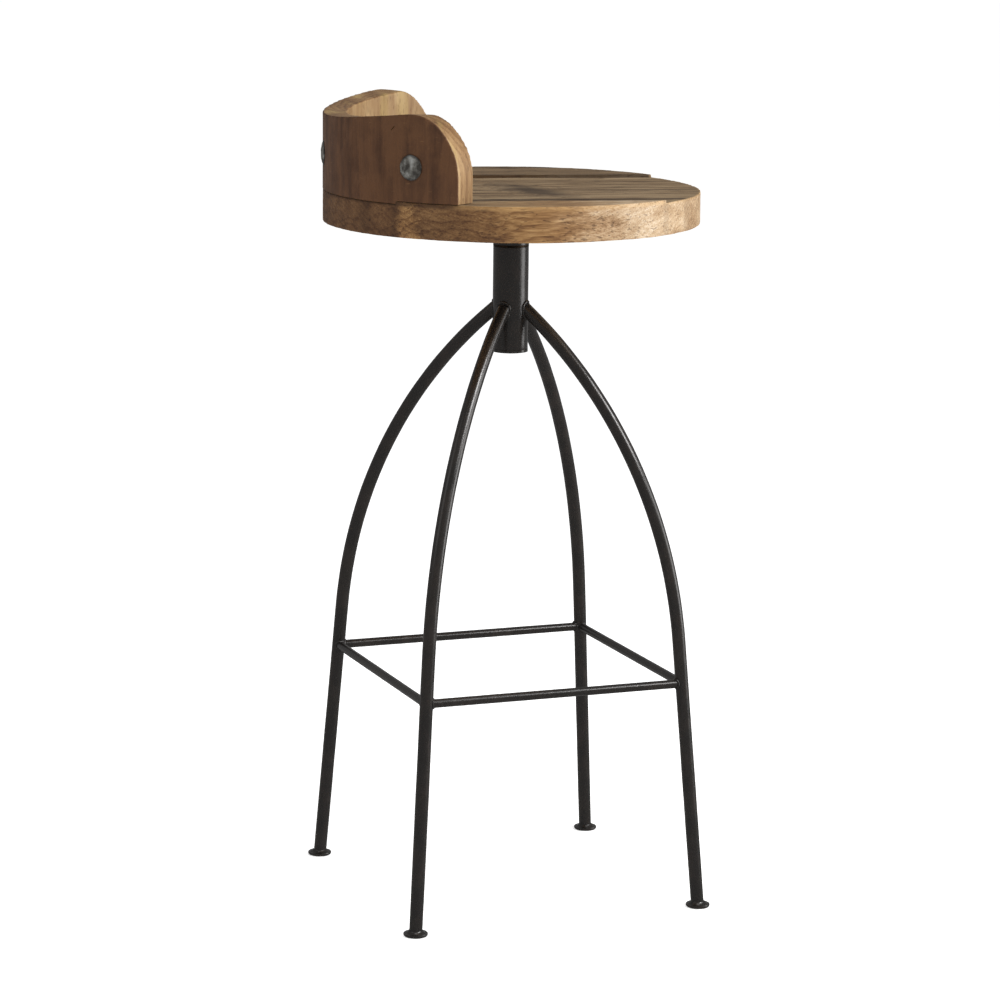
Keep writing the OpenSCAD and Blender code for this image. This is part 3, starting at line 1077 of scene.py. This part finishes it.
    def footrest_bar(self) -> bpy.types.Object:
        """Models the bar from the first leg to the second, its ends inside the legs."""
        length = self.bar_reach * math.sqrt(2)
        middle = self.bar_reach / 2
        bar = added("bar_pattern", bpy.ops.mesh.primitive_cylinder_add, vertices=24,
                    radius=self.bar / 2, depth=length - self.rod + 4 * self.sink,
                    location=(middle, middle, self.bar_height),
                    rotation=(math.pi / 2, 0, math.pi / 4))
        with editing(bar):
            direction = Vector((-1, 1, 0)).normalized()
            start = Vector((self.bar_reach, 0, self.bar_height))
            for i in range(1, self.bar_rings):
                place = start + direction * length * i / self.bar_rings
                bpy.ops.mesh.select_all(action="SELECT")
                bpy.ops.mesh.bisect(plane_co=place, plane_no=direction)
        return worn(bar, (14 * MM, 14 * MM, 30 * MM), 0.25 * MM, octaves=2)

    def leg_weld(self) -> bpy.types.Object:
        """Models the bead round the top of the first leg."""
        slope = Vector((-math.sin(self.bend_end), 0, math.cos(self.bend_end)))
        start = Vector((self.post_radius, 0, self.leg_meets()))
        ring = crossing(start - 30 * MM * slope, slope, self.rod / 2, Vector(), UP,
                        self.post_radius, 40, ahead=False)
        return blobs("leg_weld_pattern", ring, 1.7 * MM, 3)

    def leg_meets(self) -> float:
        """Gives the height at which the legs' middle line reaches the post."""
        turned = math.sin(self.bend_end) - math.sin(self.lean)
        return self.straight_height() + self.bend_radius * turned

    def bar_weld(self) -> bpy.types.Object:
        """Models the beads at both ends of the first footrest bar."""
        start = Vector((self.bar_reach, 0, self.bar_height))
        other = Vector((0, self.bar_reach, self.bar_height))
        direction = (other - start).normalized()
        middle = (start + other) / 2
        far_slope = Vector((0, -math.sin(self.lean), math.cos(self.lean)))
        near = crossing(middle, -direction, self.bar / 2, start, self.leg_slope,
                        self.rod / 2, 20, ahead=False)
        far = crossing(middle, direction, self.bar / 2, other, far_slope,
                       self.rod / 2, 20, ahead=False)
        return blobs("bar_weld_pattern", near + far, 1.5 * MM, 8)


@dataclass
class SeatBoard:
    """The round seat: four worn planks side by side, the outer two a little proud."""

    skin: float = 1.5 * MM
    spare: float = 6 * MM
    screw_angles: tuple[float, ...] = (-59, -28, -10, 10, 28, 59)
    screw_ring: float = 187 * MM
    counterbore: float = 11 * MM
    counterbore_depth: float = 8 * MM
    rim_nicks: int = 34
    step_nicks: int = 14
    top_splits: int = 16
    split_reach: float = 130 * MM
    first_pith: float = -60.0
    pith_step: float = 90.0
    pith_height: float = 560.0
    looks: tuple[dict, ...] = (
        {"bare_top": 0.75},
        # The middle-left plank's wide dark streak at -107 mm is painted shade beside the near step.
        {"dark_lines": ((-142.0, 4.0), (-107.0, 9.0), (-18.0, 3.0))},
        {},
        {"top_shift": 0.2},
    )

    def __post_init__(self) -> None:
        """Reads the seat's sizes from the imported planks."""
        self.low, self.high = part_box("left_plank")
        self.radius = -self.low.x
        self.steps = ((self.high.x, -1), (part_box("right_plank")[0].x, 1))

    def build(self) -> list[bpy.types.Object]:
        """Models the four planks.

        Returns:
            The planks, dressed and riding on the seat.
        """
        names = {
            "left_plank": "seat_plank_left",
            "middle_plank_left": "seat_plank_middle_left",
            "middle_plank_right": "seat_plank_middle_right",
            "right_plank": "seat_plank_right",
        }
        holes, chips, checks = self.screw_holes(), self.chips(), self.checks()
        planks = []
        for i, (node, name) in enumerate(names.items()):
            low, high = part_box(node)
            plank = added(name, bpy.ops.mesh.primitive_cylinder_add, vertices=288,
                          radius=self.radius, depth=high.z - low.z,
                          location=(0, 0, (high.z + low.z) / 2))
            self.part(plank, low.x - self.spare, high.x + self.spare)
            cut(plank, chips, keep_tool=True)
            eased(plank, self.skin, 5)
            worn(plank, (5 * MM, 90 * MM, 5 * MM), 0.45 * MM, offset=0.3 * i)
            worn(plank, (45 * MM, 70 * MM, 45 * MM), 0.7 * MM, offset=0.7 + 0.2 * i, octaves=2)
            self.part(plank, low.x, high.x)
            cut(plank, checks, keep_tool=True)
            cut(plank, holes, keep_tool=True)
            smooth(plank, 60)
            dress(plank, self.wood(name, i).material, "seat")
            planks.append(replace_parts(plank, node))
        for tool in (holes, chips, checks):
            bpy.data.objects.remove(tool)
        return planks

    def wood(self, name: str, number: int) -> SeatWood:
        """Gives one plank's wood. Each plank comes from another part of the log."""
        pith = (self.first_pith + self.pith_step * number, 0.0, self.pith_height)
        return SeatWood(name + "_wood", pith=pith, **self.looks[number])

    def part(self, plank: bpy.types.Object, low: float, high: float) -> None:
        """Cuts a plank off at both of its long sides, where they lie inside the seat.

        Args:
            plank: The plank.
            low: Its side towards -X.
            high: Its side towards +X.
        """
        with editing(plank):
            for x, side in ((low, "clear_inner"), (high, "clear_outer")):
                bpy.ops.mesh.select_all(action="SELECT")
                bpy.ops.mesh.bisect(plane_co=(x, 0, 0), plane_no=(1, 0, 0), use_fill=True,
                                    **{side: True})

    def screw_holes(self) -> bpy.types.Object:
        """Makes the tool that sinks the back's screws into the underside."""
        drills = []
        for angle in self.screw_angles:
            turn = math.radians(angle)
            drills.append(added(
                "drill", bpy.ops.mesh.primitive_cylinder_add, vertices=32,
                radius=self.counterbore / 2, depth=2 * self.counterbore_depth,
                location=(-self.screw_ring * math.sin(turn), self.screw_ring * math.cos(turn),
                          self.low.z)))
        return joined("screw_drills", drills)

    def chips(self) -> bpy.types.Object:
        """Makes the tool that nicks the arrises of the rim."""
        chance = random.Random(21)
        nicks = []
        for i in range(self.rim_nicks):
            turn = math.tau * (i + chance.uniform(-0.4, 0.4)) / self.rim_nicks
            size = chance.uniform(1.6, 3.0) * MM
            out = self.radius + 0.45 * size
            height = self.high.z if chance.random() < 0.7 else self.low.z
            nick = added("nick", bpy.ops.mesh.primitive_ico_sphere_add, subdivisions=2,
                         radius=1, scale=(size, size * chance.uniform(2, 5), size),
                         rotation=(0, 0, turn),
                         location=(out * math.cos(turn), out * math.sin(turn),
                                   height + math.copysign(0.35 * size, height - self.low.z - MM)))
            nicks.append(nick)
        for seam, side in self.steps:
            for _ in range(self.step_nicks):
                size = chance.uniform(1.2, 2.6) * MM
                nicks.append(added(
                    "nick", bpy.ops.mesh.primitive_ico_sphere_add, subdivisions=2, radius=1,
                    scale=(size, size * chance.uniform(2, 7), size),
                    location=(seam + side * 0.3 * size, chance.uniform(-0.8, 0.5) * self.radius,
                              self.high.z + 0.4 * size)))
        return joined("nicks", nicks)

    def checks(self) -> bpy.types.Object:
        """Makes the tool that splits the top along the grain."""
        chance = random.Random(5)
        splits = []
        for i in range(self.top_splits):
            step = 2 * self.split_reach / (self.top_splits - 1)
            x = step * i - self.split_reach + chance.uniform(-6, 6) * MM
            y = chance.uniform(-0.12, 0.1)
            length = chance.uniform(18, 60) * MM
            splits.append(added(
                "split", bpy.ops.mesh.primitive_cylinder_add, vertices=8, radius=1, depth=1,
                scale=(chance.uniform(0.25, 0.5) * MM, length, 3 * MM),
                location=(x, y, self.high.z - 3 * MM),
                rotation=(0, 0, chance.uniform(-0.02, 0.02))))
        return joined("splits", splits)


@dataclass
class CurvedBack:
    """The low back: three staves of a bent wall with rounded ends and a hollow top edge."""

    wall: float = 26 * MM
    wrap: float = math.radians(66)
    stave_half: float = math.radians(46)
    end_turn: float = math.radians(19)
    middle_rise: float = 77 * MM
    hollow_radius: float = 960 * MM
    low_corner: float = 72 * MM
    top_corner: float = 40 * MM
    bolt_angle: float = math.radians(51)
    bolt_rise: float = 35 * MM
    bolt_hole: float = 9 * MM
    pocket: float = 19 * MM
    pocket_depth: float = 9.6 * MM
    spot_radius: float = 14.2 * MM
    spot_depth: float = 0.9 * MM
    skin: float = 1.25 * MM
    spare: float = 5 * MM

    def __post_init__(self) -> None:
        """Reads the back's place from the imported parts."""
        self.seat_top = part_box("left_plank")[1].z
        self.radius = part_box("right_plank")[1].x
        self.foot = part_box("back_middle")[0].z
        self.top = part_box("back_left")[1].z
        self.left_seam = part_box("left_plank")[1].x
        self.right_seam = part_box("right_plank")[0].x

    def build(self) -> list[bpy.types.Object]:
        """Models the three staves.

        Returns:
            The staves, dressed and riding on the seat.
        """
        wall = self.whole_wall()
        drill = self.bolt_drills()
        split = self.splits()
        left, right = self.seam_normal(1), self.seam_normal(-1)
        cuts = {
            "back_stave_left": ("back_left", [(left, "clear_inner")]),
            "back_stave_middle": ("back_middle", [(left, "clear_outer"), (right, "clear_outer")]),
            "back_stave_right": ("back_right", [(right, "clear_inner")]),
        }
        staves = []
        for i, (name, (node, planes)) in enumerate(cuts.items()):
            stave = copied(wall, name)
            self.part(stave, planes, self.spare)
            eased(stave, self.skin, 4)
            worn(stave, (6 * MM, 6 * MM, 70 * MM), 0.25 * MM, offset=0.4 * i)
            worn(stave, (40 * MM, 40 * MM, 40 * MM), 0.5 * MM, offset=0.1 + 0.3 * i, octaves=2)
            self.part(stave, planes, 0.0)
            self.bed(stave)
            cut(stave, drill, keep_tool=True)
            cut(stave, split, keep_tool=True)
            smooth(stave, 60)
            dress(stave, BackWood(name + "_wood").material, "seat")
            staves.append(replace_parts(stave, node))
        for tool in (wall, drill, split):
            bpy.data.objects.remove(tool)
        return staves

    def part(self, stave: bpy.types.Object, planes: list[tuple[Vector, str]], spare: float) -> None:
        """Cuts a stave off at its seams.

        Args:
            stave: The stave.
            planes: The seams' normals, and which side of each is cleared.
            spare: How far outside the seams the cut is.
        """
        with editing(stave):
            for normal, side in planes:
                away = spare if side == "clear_outer" else -spare
                bpy.ops.mesh.select_all(action="SELECT")
                bpy.ops.mesh.bisect(plane_co=away * normal, plane_no=normal, use_fill=True,
                                    **{side: True})

    def bed(self, stave: bpy.types.Object) -> None:
        """Cuts a stave's foot flat, stepped where the outer planks stand higher."""
        with editing(stave):
            bpy.ops.mesh.bisect(plane_co=(0, 0, self.foot), plane_no=UP, use_fill=True,
                                clear_inner=True)
        step = self.seat_top - self.foot
        for seam, side in ((self.left_seam, -1), (self.right_seam, 1)):
            cut(stave, added("bed", bpy.ops.mesh.primitive_cube_add, size=1,
                             scale=(self.radius, 2 * self.radius, 2 * step),
                             location=(seam + side * self.radius / 2, self.radius, self.foot)))

    def seam_normal(self, side: int) -> Vector:
        """Gives the outward normal of a stave seam: side 1 towards -X, -1 towards +X."""
        return Vector((-side * math.cos(self.stave_half), -math.sin(self.stave_half), 0))

    def whole_wall(self) -> bpy.types.Object:
        """Models the wall before it is parted into staves."""
        height = self.top - self.foot + self.spare
        middle = (0, 0, self.top - height / 2)
        wall = added("wall", bpy.ops.mesh.primitive_cylinder_add, vertices=288,
                     radius=self.radius, depth=height, location=middle)
        cut(wall, added("core", bpy.ops.mesh.primitive_cylinder_add, vertices=288,
                        radius=self.radius - self.wall, depth=2 * height, location=middle))
        for side in (1, -1):
            cut(wall, self.end_shape(side), Cut.COMMON)
        cut(wall, added("hollow", bpy.ops.mesh.primitive_cylinder_add, vertices=720,
                        radius=self.hollow_radius, depth=3 * self.radius,
                        rotation=(math.pi / 2, 0, 0),
                        location=(0, 0, self.seat_top + self.middle_rise + self.hollow_radius)))
        return wall

    def end_shape(self, side: int) -> bpy.types.Object:
        """Makes the shape whose outline the rounded end follows.

        Args:
            side: 1 for the end towards -X, -1 for the one towards +X.

        Returns:
            A prism that holds all of the wall but what is beyond that end.
        """
        reach = 2 * self.radius
        edge = self.radius * math.sin(self.end_turn)
        lift = (self.low_corner - self.top_corner) * math.sin(math.pi / 4)
        start = self.top - self.top_corner - lift
        line = Outline("end_shape", -reach, self.foot - 10 * MM)
        line.line(reach + edge, 0).line(0, start - self.foot + 10 * MM)
        line.arc(edge - self.low_corner, start, 45, 12)
        line.arc(edge - self.low_corner + lift, start + lift, 45, 9)
        line.line(-reach, 0)
        shape = line.sweep(reach)
        shape.rotation_euler = (0, 0, math.pi + side * (self.wrap - self.end_turn))
        shape.scale = (side, 1, 1)
        return outwards(settled(shape))

    def bolt_places(self) -> list[float]:
        """Gives the bolts' turns from the middle of the back, in radians."""
        return [-self.bolt_angle, 0, self.bolt_angle]

    def bolt_drills(self) -> bpy.types.Object:
        """Makes the tool that bores the bolt holes with their pockets and spot faces."""
        height = self.seat_top + self.bolt_rise
        inner = self.radius - self.wall
        bores = [(self.bolt_hole / 2, 0.9 * inner, 1.1 * self.radius),
                 (self.pocket / 2, 0.9 * inner, inner + self.pocket_depth),
                 (self.spot_radius, self.radius - self.spot_depth, 1.1 * self.radius)]
        drills = []
        for turn in self.bolt_places():
            drill = None
            for radius, near, far in bores:
                reach = (near + far) / 2
                bore = added("bore", bpy.ops.mesh.primitive_cylinder_add, vertices=48,
                             radius=radius, depth=far - near, rotation=(math.pi / 2, 0, turn),
                             location=(-reach * math.sin(turn), reach * math.cos(turn), height))
                drill = cut(drill, bore, Cut.ADD) if drill else bore
            drills.append(drill)
        return joined("bolt_drills", drills)

    def splits(self) -> bpy.types.Object:
        """Makes the tool for the fine splits near the ends and at the seams."""
        splits = []
        for turn, reach, height, length, tilt in (
            (63.5, 176.5, 0.30, 17, 0.03), (-62, 177, 0.45, 14, -0.04),
            (44.6, 200, 0.84, 13, -0.75), (-30, 200, 0.7, 12, 0.1), (8, 187, 1.0, 9, 0.0),
        ):
            angle = math.radians(turn)
            place = (-reach * MM * math.sin(angle), reach * MM * math.cos(angle),
                     self.foot + height * (self.top - self.foot))
            splits.append(added(
                "split", bpy.ops.mesh.primitive_cylinder_add, vertices=8, radius=1, depth=1,
                scale=(0.55 * MM, length * MM, 4 * MM), location=place,
                rotation=(math.pi / 2 + tilt, tilt, angle)))
        return joined("back_splits", splits)


@dataclass
class BackBolts:
    """The three bolts through the back, with hammered heads, washers and hexagon nuts."""

    back: CurvedBack
    head: float = 27 * MM
    head_rise: float = 3.5 * MM
    shank: float = 8 * MM
    nut_flats: float = 13 * MM
    nut: float = 6.5 * MM
    washer: float = 18 * MM
    washer_depth: float = 1.6 * MM
    pitch: float = 1.25 * MM
    threads: int = 7

    def __post_init__(self) -> None:
        """Works out where the bolts and washers sit from the back's wall."""
        inner = self.back.radius - self.back.wall
        self.inner_end = inner + 1 * MM
        self.washer_face = inner + self.back.pocket_depth
        self.outer_seat = self.back.radius - 0.56 * MM

    def build(self) -> list[bpy.types.Object]:
        """Models the bolts, washers and nuts.

        Returns:
            The three kinds of piece, each of them three of a kind, riding on the seat.
        """
        hammered = HammeredIron("hammered_iron").material
        steel = TurnedMetal("bolt_steel", shade(196, 196, 192), shade(132, 126, 118)).material
        made = []
        for name, node, pattern, finish, slot in (
            ("back_bolt_set", "back_bolts", self.bolt(), hammered, "hammered_iron"),
            ("back_washer_set", "back_washers", self.washer_ring(), steel, "steel"),
            ("back_nut_set", "back_nuts", self.hex_nut(), steel, "steel"),
        ):
            copies = [self.seated(pattern, turn) for turn in self.back.bolt_places()]
            bpy.data.objects.remove(pattern)
            piece = joined(name, copies)
            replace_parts(smooth(piece, 35), node)
            dress(piece, finish, "seat")
            made.append(piece)
        return made

    def seated(self, pattern: bpy.types.Object, turn: float) -> bpy.types.Object:
        """Copies a piece that was made along Z into the back, pointing outwards at a turn."""
        height = self.back.seat_top + self.back.bolt_rise
        return copied(pattern, "seated", turn, -math.pi / 2, (0, 0, height))

    def bolt(self) -> bpy.types.Object:
        """Models one bolt: threaded shank and a low hammered dome."""
        root = self.shank / 2 - 0.6 * MM
        line = Outline("bolt_pattern", 0, self.inner_end)
        line.line(root, 0)
        for _ in range(self.threads):
            line.line(self.shank / 2 - root, self.pitch / 2)
            line.line(root - self.shank / 2, self.pitch / 2)
        line.line(self.shank / 2 - root, 0)
        line.line(0, self.outer_seat - self.inner_end - self.threads * self.pitch)
        line.line(self.head / 2 - 0.8 * MM - self.shank / 2, 0)
        line.line(0.8 * MM, 0.5 * MM)
        rise = self.head_rise - 0.5 * MM
        ball = ((self.head / 2) ** 2 + rise**2) / (2 * rise)
        sweep = math.degrees(math.asin(self.head / 2 / ball))
        line.arc(0, self.outer_seat + self.head_rise - ball, sweep, 14)
        bolt = line.home().lathe(56)
        with editing(bolt):
            pick_faces(bolt, lambda face: face.calc_center_median().z > self.outer_seat + 0.4 * MM)
            bpy.ops.mesh.subdivide(number_cuts=1)
        return worn(bolt, (4.5 * MM, 4.5 * MM, 9 * MM), 1.1 * MM, octaves=1)

    def washer_ring(self) -> bpy.types.Object:
        """Models one washer with eased edges."""
        edge = 0.25 * MM
        hole = self.shank / 2 + 0.1 * MM
        low = self.washer_face - self.washer_depth
        line = Outline("washer_pattern", hole, low)
        line.line(self.washer / 2 - hole - edge, 0).line(edge, edge)
        line.line(0, self.washer_depth - 2 * edge).line(-edge, edge)
        line.line(hole + edge - self.washer / 2, 0).line(0, -self.washer_depth)
        return line.lathe(48)

    def hex_nut(self) -> bpy.types.Object:
        """Models one nut: six flats, its corners turned off to a cone at both ends."""
        low = self.washer_face - self.washer_depth - self.nut
        across = self.nut_flats / math.cos(math.pi / 6)
        nut = added("nut_pattern", bpy.ops.mesh.primitive_cylinder_add, vertices=6,
                    radius=across / 2, depth=self.nut, location=(0, 0, low + self.nut / 2))
        chamfer = 1.1 * MM
        line = Outline("nut_cone", 0, low)
        line.line(self.nut_flats / 2, 0).line(2 * chamfer, chamfer)
        line.line(0, self.nut - 2 * chamfer).line(-2 * chamfer, chamfer)
        line.line(-self.nut_flats / 2, 0)
        cut(nut, line.lathe(64), Cut.COMMON)
        return cut(nut, added("nut_hole", bpy.ops.mesh.primitive_cylinder_add, vertices=40,
                              radius=self.shank / 2 + 0.05 * MM, depth=3 * self.nut,
                              location=(0, 0, low)))


@dataclass
class Swivel:
    """The swivel under the seat: plate and its screws, collar, spindle and bushes."""

    screw_head: float = 10 * MM
    head_rise: float = 3 * MM
    slot: float = 1.4 * MM
    screw_inset: float = 64 * MM

    def build(self) -> list[bpy.types.Object]:
        """Models the screw heads and the collar's weld, and dresses what stays as packed.

        Returns:
            The new pieces, riding on the seat.
        """
        iron = BlackIron("plate_iron").material
        steel = TurnedMetal("spindle_steel", shade(190, 190, 186), shade(120, 114, 106)).material
        bronze = TurnedMetal("bush_bronze", shade(58, 48, 38), shade(38, 32, 27), 0.5).material
        for nodes, finish in (
            (("mounting_plate", "swivel_collar"), iron),
            (("spindle", "keeper_washer", "spindle_nut", "back_screws"), steel),
            (("upper_bush", "lower_bush"), bronze),
            (("plank_dowels",), Beech("dowel_beech").material),
        ):
            for node in nodes:
                coat(node, finish)
        screws = self.plate_screws()
        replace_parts(screws, "plate_screws")
        dress(screws, steel, "seat")
        weld = self.collar_weld()
        dress(smooth(weld, 60), iron, "seat")
        return [screws, weld]

    def plate_screws(self) -> bpy.types.Object:
        """Models the four wood screws with domed, cross-slotted heads."""
        plate_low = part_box("mounting_plate")[0].z
        low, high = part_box("plate_screws")
        shank = 2.4 * MM
        line = Outline("screw_pattern", 0, low.z)
        line.line(0.8 * MM, 0)
        flat = self.screw_head / 2
        line.line(flat - 2.4 * MM, 0.5 * MM).line(1.3 * MM, 1.0 * MM).line(0.3 * MM, 0.9 * MM)
        line.line(0, plate_low - low.z - 2.4 * MM)
        line.line(shank - flat, 0).line(0, high.z - plate_low - 4 * MM).line(-shank, 4 * MM)
        screw = line.lathe(40)
        for turn in (0, math.pi / 2):
            cut(screw, added("slot", bpy.ops.mesh.primitive_cube_add, size=1,
                             scale=(self.slot, 6 * MM, 2.6 * MM), location=(0, 0, low.z),
                             rotation=(0, 0, turn + 0.4)))
        reach = self.screw_inset
        screws = [
            copied(screw, "plate_screw", 7 * x + 3 * y, place=(x * reach, y * reach, 0))
            for x, y in ((1, 1), (-1, 1), (-1, -1), (1, -1))
        ]
        bpy.data.objects.remove(screw)
        return smooth(joined("plate_screw_set", screws), 30)

    def collar_weld(self) -> bpy.types.Object:
        """Models the bead that joins the collar to the plate."""
        _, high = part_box("swivel_collar")
        ring = [Vector((high.x * math.cos(math.tau * i / 60), high.x * math.sin(math.tau * i / 60),
                        high.z)) for i in range(60)]
        bead = blobs("collar_weld", ring, 2.0 * MM, 12)
        room = 2 * high.x
        return cut(bead, added("plate_room", bpy.ops.mesh.primitive_cube_add, size=2 * room,
                               location=(0, 0, high.z + room)))


@dataclass(frozen=True)
class Lamp:
    """A soft light: where it stands from the stool, in degrees and metres, and its watts."""

    name: str
    turn: float
    rise: float
    reach: float
    size: tuple[float, float]
    power: float


@dataclass
class Studio:
    """Plain pale floor, soft light all round, and the camera."""

    distance: float = 3982.5 * MM
    height: float = 1190.2 * MM
    turn: float = math.radians(-98.26)
    pan: float = math.radians(-0.13)
    tilt: float = math.radians(10.903)
    roll: float = math.radians(0.569)
    lens: float = 136.0
    lit_height: float = 0.6
    sky_seen: float = 0.45
    sky_reflected: float = 0.25
    lamps: tuple[Lamp, ...] = (
        Lamp("key", 236, 34, 3.2, (1.0, 1.0), 62),
        Lamp("strip", 259, 4, 2.6, (1.3, 1.5), 25),
        Lamp("top", 200, 74, 3.4, (2.0, 2.0), 26),
        Lamp("fill", 110, 30, 4.0, (2.2, 2.2), 10),
    )

    def build(self) -> None:
        """Sets up the whole studio."""
        self.floor()
        self.world()
        self.lights()
        self.camera()
        bpy.context.scene.view_settings.view_transform = "Standard"

    def floor(self) -> None:
        """Adds the floor."""
        floor = added("studio_floor", bpy.ops.mesh.primitive_plane_add, size=80)
        graph = Graph("pale_floor")
        cloud = graph.noise(graph.place(), 2)
        floor.data.materials.append(graph.finish(
            Base_Color=shade(246, 246, 245), Roughness=0.85 + (cloud - 0.5) * 0.05,
            Emission_Color=shade(255, 255, 255), Emission_Strength=0.62))
        floor.visible_glossy = False

    def world(self) -> None:
        """Lights the studio evenly: bright to the eye, softer in reflections."""
        world = bpy.data.worlds.new("soft_studio")
        bpy.context.scene.world = world
        world.use_nodes = True
        tree = world.node_tree
        tree.nodes.clear()
        out = tree.nodes.new("ShaderNodeOutputWorld")
        ray = tree.nodes.new("ShaderNodeLightPath")
        level = tree.nodes.new("ShaderNodeMix")
        level.inputs[2].default_value = self.sky_seen
        level.inputs[3].default_value = self.sky_reflected
        sky = tree.nodes.new("ShaderNodeBackground")
        white = tree.nodes.new("ShaderNodeBackground")
        either = tree.nodes.new("ShaderNodeMixShader")
        tree.links.new(ray.outputs["Is Glossy Ray"], level.inputs[0])
        tree.links.new(level.outputs[0], sky.inputs["Strength"])
        tree.links.new(ray.outputs["Is Camera Ray"], either.inputs[0])
        tree.links.new(sky.outputs[0], either.inputs[1])
        tree.links.new(white.outputs[0], either.inputs[2])
        for background in (sky, white):
            background.inputs["Color"].default_value = (1, 1, 1, 1)
        tree.links.new(either.outputs[0], out.inputs["Surface"])

    def lights(self) -> None:
        """Adds the soft lights, each of them facing the stool."""
        for lamp in self.lamps:
            data = bpy.data.lights.new(lamp.name, "AREA")
            data.shape = "RECTANGLE"
            data.size, data.size_y = lamp.size
            data.energy = lamp.power
            obj = bpy.data.objects.new(lamp.name, data)
            bpy.context.scene.collection.objects.link(obj)
            turn, rise = math.radians(lamp.turn), math.radians(lamp.rise)
            away = Vector((math.cos(rise) * math.cos(turn), math.cos(rise) * math.sin(turn),
                           math.sin(rise)))
            obj.location = Vector((0, 0, self.lit_height)) + lamp.reach * away
            obj.rotation_mode = "QUATERNION"
            obj.rotation_quaternion = away.to_track_quat("Z", "Y")

    def camera(self) -> None:
        """Adds the camera."""
        ahead = Vector((math.sin(self.pan), math.cos(self.pan), 0))
        right = Vector((math.cos(self.pan), -math.sin(self.pan), 0))
        forward = math.cos(self.tilt) * ahead - math.sin(self.tilt) * UP
        above = math.sin(self.tilt) * ahead + math.cos(self.tilt) * UP
        across = math.cos(self.roll) * right + math.sin(self.roll) * above
        upward = -math.sin(self.roll) * right + math.cos(self.roll) * above
        spin = Matrix.Rotation(self.turn, 3, "Z")
        basis = Matrix((spin @ across, spin @ upward, -(spin @ forward))).transposed()
        data = bpy.data.cameras.new("camera")
        data.lens = self.lens
        data.sensor_width = 36
        data.clip_end = 100
        camera = bpy.data.objects.new("camera", data)
        bpy.context.scene.collection.objects.link(camera)
        camera.matrix_world = Matrix.Translation(
            spin @ Vector((0, -self.distance, self.height))) @ basis.to_4x4()
        bpy.context.scene.camera = camera


def main() -> None:
    """Builds the stool and its studio."""
    logging.basicConfig(level=logging.INFO, format="%(name)s: %(message)s")
    back = CurvedBack()
    for assembly in (IronFrame(), SeatBoard(), back, BackBolts(back), Swivel()):
        pieces = assembly.build()
        log.info("%s done, %d pieces", type(assembly).__name__, len(pieces))
    Studio().build()


if __name__ == "__main__":
    main()
